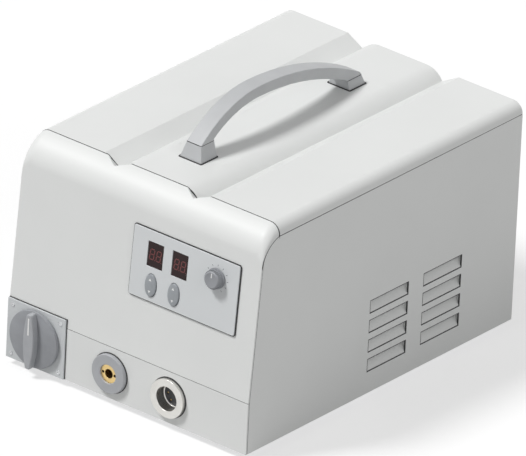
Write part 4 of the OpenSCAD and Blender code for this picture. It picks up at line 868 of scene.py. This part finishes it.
# Front sockets: black rings behind the flanges as painted shadow outlines, and contacts in the remote
# socket
socket = {"centres": {"torchGasket": (134, 28.5), "remoteGasket": (210, 28.5)}, "ringRadius": 21.9,
    "pins": 6, "pinRadius": 1.05, "pinCircle": 8, "pinDepth": (-12, -8.2)}
r = socket["ringRadius"]
for name, centre in socket["centres"].items():
    turned(name, [(r, 0), (r, 0.7), (r - 0.3, 0.9), (r - 3, 0.9), (r - 3, 0)], frontPlace(*centre),
        "gasket", steps=72, closed=True)
r, (low, high) = pick(socket, "pinRadius pinDepth")
repeated("remotePins", "ring", {"Count": socket["pins"], "Radius": socket["pinCircle"]},
    frontPlace(*socket["centres"]["remoteGasket"]),
    turnedItem("contactPin", [(0, low), (r, low), (r, high), (0.55, high + 0.6), (0, high + 0.7)], 14),
    "brass")
print("front sockets made")

# Rear: sheet screws, current inlet, gas inlet with its valve, control inlet
rearScrew = {"columns": 3, "rows": 2, "pitch": (135, 190), "middle": (155, 115), "screw": (3.6, 1.6)}
currentInlet = {"middle": (205, 42), "pin": 6.5, "body": 15, "flange": 21, "flangeThick": 6, "out": 28.5,
    "inside": -28, "lugs": 4}
gasInlet = {"middle": (262, 42), "radius": 4, "out": 22.5, "inside": -33, "bore": 1.9, "barbs": 4,
    "barbStart": 8.5, "nut": (7.6, 4.1, 5), "block": (14, 12, -74, -32), "stub": (5.5, -86.5)}
controlInlet = {"middle": (232, 110), "flange": (32, 3), "radius": 12, "bore": 1.8, "pins": 6,
    "pinCircle": 6.0, "screws": (25, 25), "screw": (1.7, 0.8)}
repeated("rearScrews", "grid", gridSizes(rearScrew["columns"], rearScrew["rows"], rearScrew["pitch"]),
    rearPlace(*rearScrew["middle"]), screwItem("sheetScrew", *rearScrew["screw"]), "screwSteel",
    replaced=["casing_screws"])


def makeCurrentInlet():
    place = rearPlace(*currentInlet["middle"])
    pin, r, flange, t, top, low = pick(currentInlet, "pin body flange flangeThick out inside")
    bore = pin + 0.05
    turned("currentInletBody", [(bore, -16), (r - 0.3, -16), (r - 0.3, 0), (flange, 0), (flange, t - 1.4),
        (flange - 1.4, t), (r + 1, t), (r, t + 1), (r, t + 3), (r - 1, t + 4), (pin + 2.5, t + 4),
        (bore, t + 2.4)], place, "blackPlastic", replaced=["current_inlet"], steps=72, closed=True)
    turned("currentInletPin", [(0, low), (pin, low), (pin, top - 9), (pin - 0.9, top - 8.4),
        (pin - 0.9, top - 6.6), (pin, top - 6), (pin, top - 1.6), (pin - 1.6, top), (0, top)], place,
        "brass", replaced=["current_inlet"], steps=48)
    repeated("currentInletLugs", "ring", {"Count": currentInlet["lugs"], "Radius": flange - 3.4,
        "Start": pi / 4}, place, cutItem("currentNotch", rect(2, 3.6), 3, t + 0.4), "screwSteel")


def makeGasInlet():
    place = rearPlace(*gasInlet["middle"])
    r, top, low, bore, start, count = pick(gasInlet, "radius out inside bore barbStart barbs")
    pitch = (top - 10) / count
    barbs = []
    for i in range(count):
        w = start + i * pitch
        barbs += [(r, w), (r, w + 0.5), (r - 0.9, w + pitch - 0.3)]
    turned("gasNipple", [(bore, low), (r + 1.5, low), (r + 1.5, 0), (r + 3, 0), (r + 3, 4.4), (r + 2.4, 5),
        (r - 0.6, 5), (r - 0.6, 8.2)] + barbs + [(r - 1.2, top), (bore, top), (bore, low)], place, "brass",
        replaced=["gas_valve"], steps=48)
    outer, inner, high = gasInlet["nut"]
    ringed("gasNut", circle(outer, 6, start=pi / 6), circle(inner, 6, start=pi / 6), 0.1, high, place,
        "brass", 0.5)
    half, up, back, front = gasInlet["block"]
    cut("gasValveBlock", [(rect(2 * half, 2 * up), back, front)], place, "castAlloy", edge=0.8,
        replaced=["gas_valve"])
    cut("gasValveCoil", [(box(-12, 12, 11, 45), -66, -40), (box(-7, 7, 16, 30), -70, -36)], place,
        "blackPlastic", edge=1.0, replaced=["gas_valve"])
    r, low = gasInlet["stub"]
    turned("gasValveStub", [(0, low), (r, low), (r, back), (0, back)], place, "brass",
        replaced=["gas_valve"], steps=32)


def makeControlInlet():
    place, r, bore = rearPlace(*controlInlet["middle"]), controlInlet["radius"], controlInlet["bore"]
    size, t = controlInlet["flange"]
    ringed("controlFlange", roundedOutline(size, size, 3, steps=5), circle(r - 1, 20), 0, t, place,
        "nickel", 0.5, ["control_inlet"])
    turned("controlShell", [(r - bore, -18), (r - 1.3, -18), (r - 1.3, 1), (r, 3), (r, 14.3), (r - 0.7, 15),
        (r - 1.6, 15), (r - bore, 14.6)], place, "nickel", replaced=["control_inlet"], closed=True)
    turned("controlInsert", [(0, -17), (r - bore, -17), (r - bore, 8), (0, 8)], place, "blackPlastic",
        replaced=["control_inlet"], steps=48)
    contact = turnedItem("controlContact", [(0, 7.5), (0.9, 7.5), (0.9, 12.6), (0.5, 13.2), (0, 13.3)], 14)
    repeated("controlPins", "ring", {"Count": controlInlet["pins"], "Radius": controlInlet["pinCircle"]},
        place, contact, "brass")
    repeated("controlScrews", "grid", gridSizes(2, 2, controlInlet["screws"]),
        place @ Matrix.Translation((0, 0, t)), screwItem("controlScrew", *controlInlet["screw"]),
        "screwSteel")


makeCurrentInlet()
makeGasInlet()
makeControlInlet()
print("rear connectors made")

# Wire drive: roll nut with its grip, pressure spring with its washer, tension knob
rollNut = {"front": (123.5, 72, 16), "radius": 8.0, "length": 6, "bore": 5.05, "ridges": 26}
lever = {"pivot": (134, 98, 38.5), "tilt": radians(40), "spring": (21.45, 41.4), "springRadius": 4.3,
    "springWire": 0.75, "springTurns": 8.0, "washer": 19.9, "knob": 41.9}
tensionKnob = {"length": 18, "radius": 9, "bore": 2.6, "ridges": 18}


def leverPlace(rise):  # along the bolt from the lever's pivot
    s, c = sin(lever["tilt"]), cos(lever["tilt"])
    return placeAt(*lever["pivot"], (1, 0, 0), (0, c, -s)) @ Matrix.Translation((0, 0, rise))


def makeRollNut():
    r, t, bore = pick(rollNut, "radius length bore")
    place = placeAt(*rollNut["front"], (0, -1, 0), (0, 0, 1)) @ Matrix.Translation((0, 0, -t))
    turned("rollNutBody", [(bore, 0), (r - 1, 0), (r, 1), (r, t - 1), (r - 1, t), (6.2, t), (5.4, t - 0.6),
        (0, t - 0.6), (0, 1.6), (bore, 1.6)], place, "blackPlastic", "drive_shaft", ["roll_nut"], 48, True)
    repeated("rollNutRidges", "ring", {"Count": rollNut["ridges"], "Radius": r}, place,
        cutItem("nutGrip", box(-0.7, 0.5, -0.45, 0.45), 0.7, t - 0.7), "blackPlastic", "drive_shaft")


def makeSpring():
    turned("springWasher", [(2.75, 0), (6.1, 0), (6.5, 0.3), (6.5, 1.2), (6.1, 1.5), (2.75, 1.5)],
        leverPlace(lever["washer"]), "screwSteel", "tension_lever", ["tension_spring"], 48, True)
    (start, stop), wire, turns = pick(lever, "spring springWire springTurns")
    repeated("pressureSpring", "coil", {"Turns": turns, "Radius": lever["springRadius"],
        "Pitch": (stop - start - 2 * wire) / turns, "Wire radius": wire, "Steps per turn": 28,
        "Wire sides": 10}, leverPlace(start + wire), None, "steel", "tension_lever", ["tension_spring"])


def makeTensionKnob():
    place = leverPlace(lever["knob"])
    r, t, bore = pick(tensionKnob, "radius length bore")
    turned("tensionKnobBody", [(bore, 0), (r - 2.2, 0), (r - 1.4, 0.8), (r - 1.4, 4), (r - 0.9, 5),
        (r - 0.9, t - 2.5), (r - 2.2, t - 0.8), (r - 4, t), (0, t), (0, 15), (bore, 15)], place,
        "knobOrange", "tension_knob", ["tension_knob"], 48, True)
    repeated("tensionKnobRidges", "ring", {"Count": tensionKnob["ridges"], "Radius": r - 0.95}, place,
        cutItem("knobRib", box(-0.8, 0.9, -0.6, 0.6), 5, t - 2.6), "knobOrange", "tension_knob")


makeRollNut()
makeSpring()
makeTensionKnob()
print("wire drive made")

# Wound wire on the spool, the hose and the cable inside
winding = {"axis": (285, 114), "x": (96, 143), "radius": 84.7, "wire": 0.5, "core": 50, "coreGap": 0.1,
    "coreInset": 0.6, "ends": 1.2, "start": 0.6}
lines = {"hose": 4.0, "cable": 5.5,
    "hosePoints": (
        (262, 330, 42), (262, 318, 42), (260, 304, 52), (250, 286, 82), (224, 254, 98),
        (194, 204, 100), (184, 150, 100), (183, 90, 106), (172, 60, 112), (152, 39, 104),
        (139, 37, 84), (134, 37, 64), (134, 37, 50)),
    "cablePoints": (
        (205, 388, 42), (205, 368, 42), (203, 350, 50), (192, 326, 74), (176, 296, 92), (168, 240, 96),
        (168, 66, 96), (167, 48, 88), (167, 36, 70), (167, 34, 48), (166, 34, 36), (162, 34, 30),
        (154, 34, 28.5))}


def makeWinding():
    (left, right), radius, wire, gap = pick(winding, "x radius wire coreGap")
    place, length = placeAt(left, *winding["axis"], (0, 1, 0), (0, 0, 1)), right - left
    inner, outer = winding["core"] + gap, radius - winding["coreInset"]
    turned("woundWireCore", [(inner, gap), (outer, gap), (outer, length - gap), (inner, length - gap)],
        place, "copperWire", "spool", ["wire_winding"], 96, True)
    repeated("woundWire", "coil", {"Turns": length / (2 * wire) - winding["ends"], "Radius": radius - wire,
        "Pitch": 2 * wire, "Wire radius": wire, "Steps per turn": 96, "Wire sides": 6},
        place @ Matrix.Translation((0, 0, winding["start"])), None, "copperWire", "spool", ["wire_winding"])


def makeLine(name, points, radius, finish, node):
    bm = bmesh.new()
    addTube(bm, smoothRoute(points), radius, 20)
    finishPiece(shadeByAngle(pieceFrom(name, bm, benchPlace)), finish, bodyOf[node], [node])


makeWinding()
makeLine("gasHose", lines["hosePoints"], lines["hose"], "hoseBlack", "gas_hose")
makeLine("currentCable", lines["cablePoints"], lines["cable"], "rubber", "power_cable")
print("wire, hose and cable made")

# Solids that stay as they are
for node, finish in {"door_liner": "foam", "control_board": "boardGreen",
        "welding_wire": "copperWire"}.items():
    nodes[node].data.materials.clear()
    nodes[node].data.materials.append(finishes[finish])
print("kept solids finished")

# Camera at the viewing angle, plain light and a white floor that keeps the shadow
view = {"azimuth": 38.4022, "elevation": 26.6058, "roll": 2.8413, "lens": 1407.009, "sensor": 36.0,
    "clip": (0.1, 60), "place": (11.39927, -14.39087, 9.32345)}
# A lamp's row has the way to it, its strength and its spread in degrees
light = {"key": ((-0.42, -0.55, 1.0), 2.2, 14), "fill": ((0.95, -0.25, 0.55), 0.45, 40),
    "sky": 0.3, "floor": 28000, "floorThick": 20, "floorTone": 0.5, "floorGlow": 0.54}
white = (1, 1, 1, 1)


def placeCamera():
    az, el, roll = map(radians, pick(view, "azimuth elevation roll"))
    ahead = Vector((-sin(az) * cos(el), cos(az) * cos(el), -sin(el)))
    right = Vector((cos(az), sin(az), 0))
    up = right.cross(ahead)
    right, up = right * cos(roll) + up * sin(roll), up * cos(roll) - right * sin(roll)
    camera = newObject("viewCamera", bpy.data.cameras.new("viewCamera"))
    camera.data.lens = view["lens"]
    camera.data.sensor_width = view["sensor"]
    camera.data.clip_start, camera.data.clip_end = view["clip"]
    camera.matrix_world = (Matrix.Translation(view["place"])
        @ Matrix((right, up, -ahead)).transposed().to_4x4())
    scene.camera = camera


def placeLamp(name):
    towards, strength, soft = light[name]
    lamp = newObject(name + "Light", bpy.data.lights.new(name + "Light", "SUN"))
    lamp.data.energy = strength
    lamp.data.angle = radians(soft)
    lamp.rotation_euler = Vector(towards).to_track_quat("Z", "Y").to_euler()


def seenDirectly(tree):  # 1 for what the camera, a mirror or glass sees
    path = addNode(tree, "ShaderNodeLightPath")
    share = path.outputs["Is Camera Ray"]
    for name in ("Is Glossy Ray", "Is Transmission Ray"):
        share = calc(tree, "MAXIMUM", share, path.outputs[name])
    return share


def makeWorld():
    scene.world = bpy.data.worlds.new("studio")
    scene.world.use_nodes = True
    tree = scene.world.node_tree
    tree.nodes.clear()
    sky = addNode(tree, "ShaderNodeBackground", {"Color": white, "Strength": light["sky"]})
    seen = addNode(tree, "ShaderNodeBackground", {"Color": white, "Strength": 1.0})
    both = addNode(tree, "ShaderNodeMixShader", {0: seenDirectly(tree), 1: sky.outputs[0],
        2: seen.outputs[0]})
    addNode(tree, "ShaderNodeOutputWorld", {"Surface": both.outputs[0]})


def makeFloor():
    bm = bmesh.new()
    addPrism(bm, rect(light["floor"], light["floor"]), -light["floorThick"], 0)
    floor = pieceFrom("studioFloor", bm, Matrix.Scale(0.001, 4))
    material = bpy.data.materials.new("studioFloor")
    material.use_nodes = True
    tree = material.node_tree
    tree.nodes.clear()
    matt = addNode(tree, "ShaderNodeBsdfDiffuse", {"Color": (*[light["floorTone"]] * 3, 1)})
    glow = addNode(tree, "ShaderNodeEmission", {"Color": white})
    tree.links.new(calc(tree, "MULTIPLY", seenDirectly(tree), light["floorGlow"]), glow.inputs["Strength"])
    both = addNode(tree, "ShaderNodeAddShader", {0: matt.outputs[0], 1: glow.outputs[0]})
    addNode(tree, "ShaderNodeOutputMaterial", {"Surface": both.outputs[0]})
    floor.data.materials.append(material)


placeCamera()
placeLamp("key")
placeLamp("fill")
makeWorld()
makeFloor()
scene.view_settings.view_transform = "Standard"
print("camera, light and floor set")
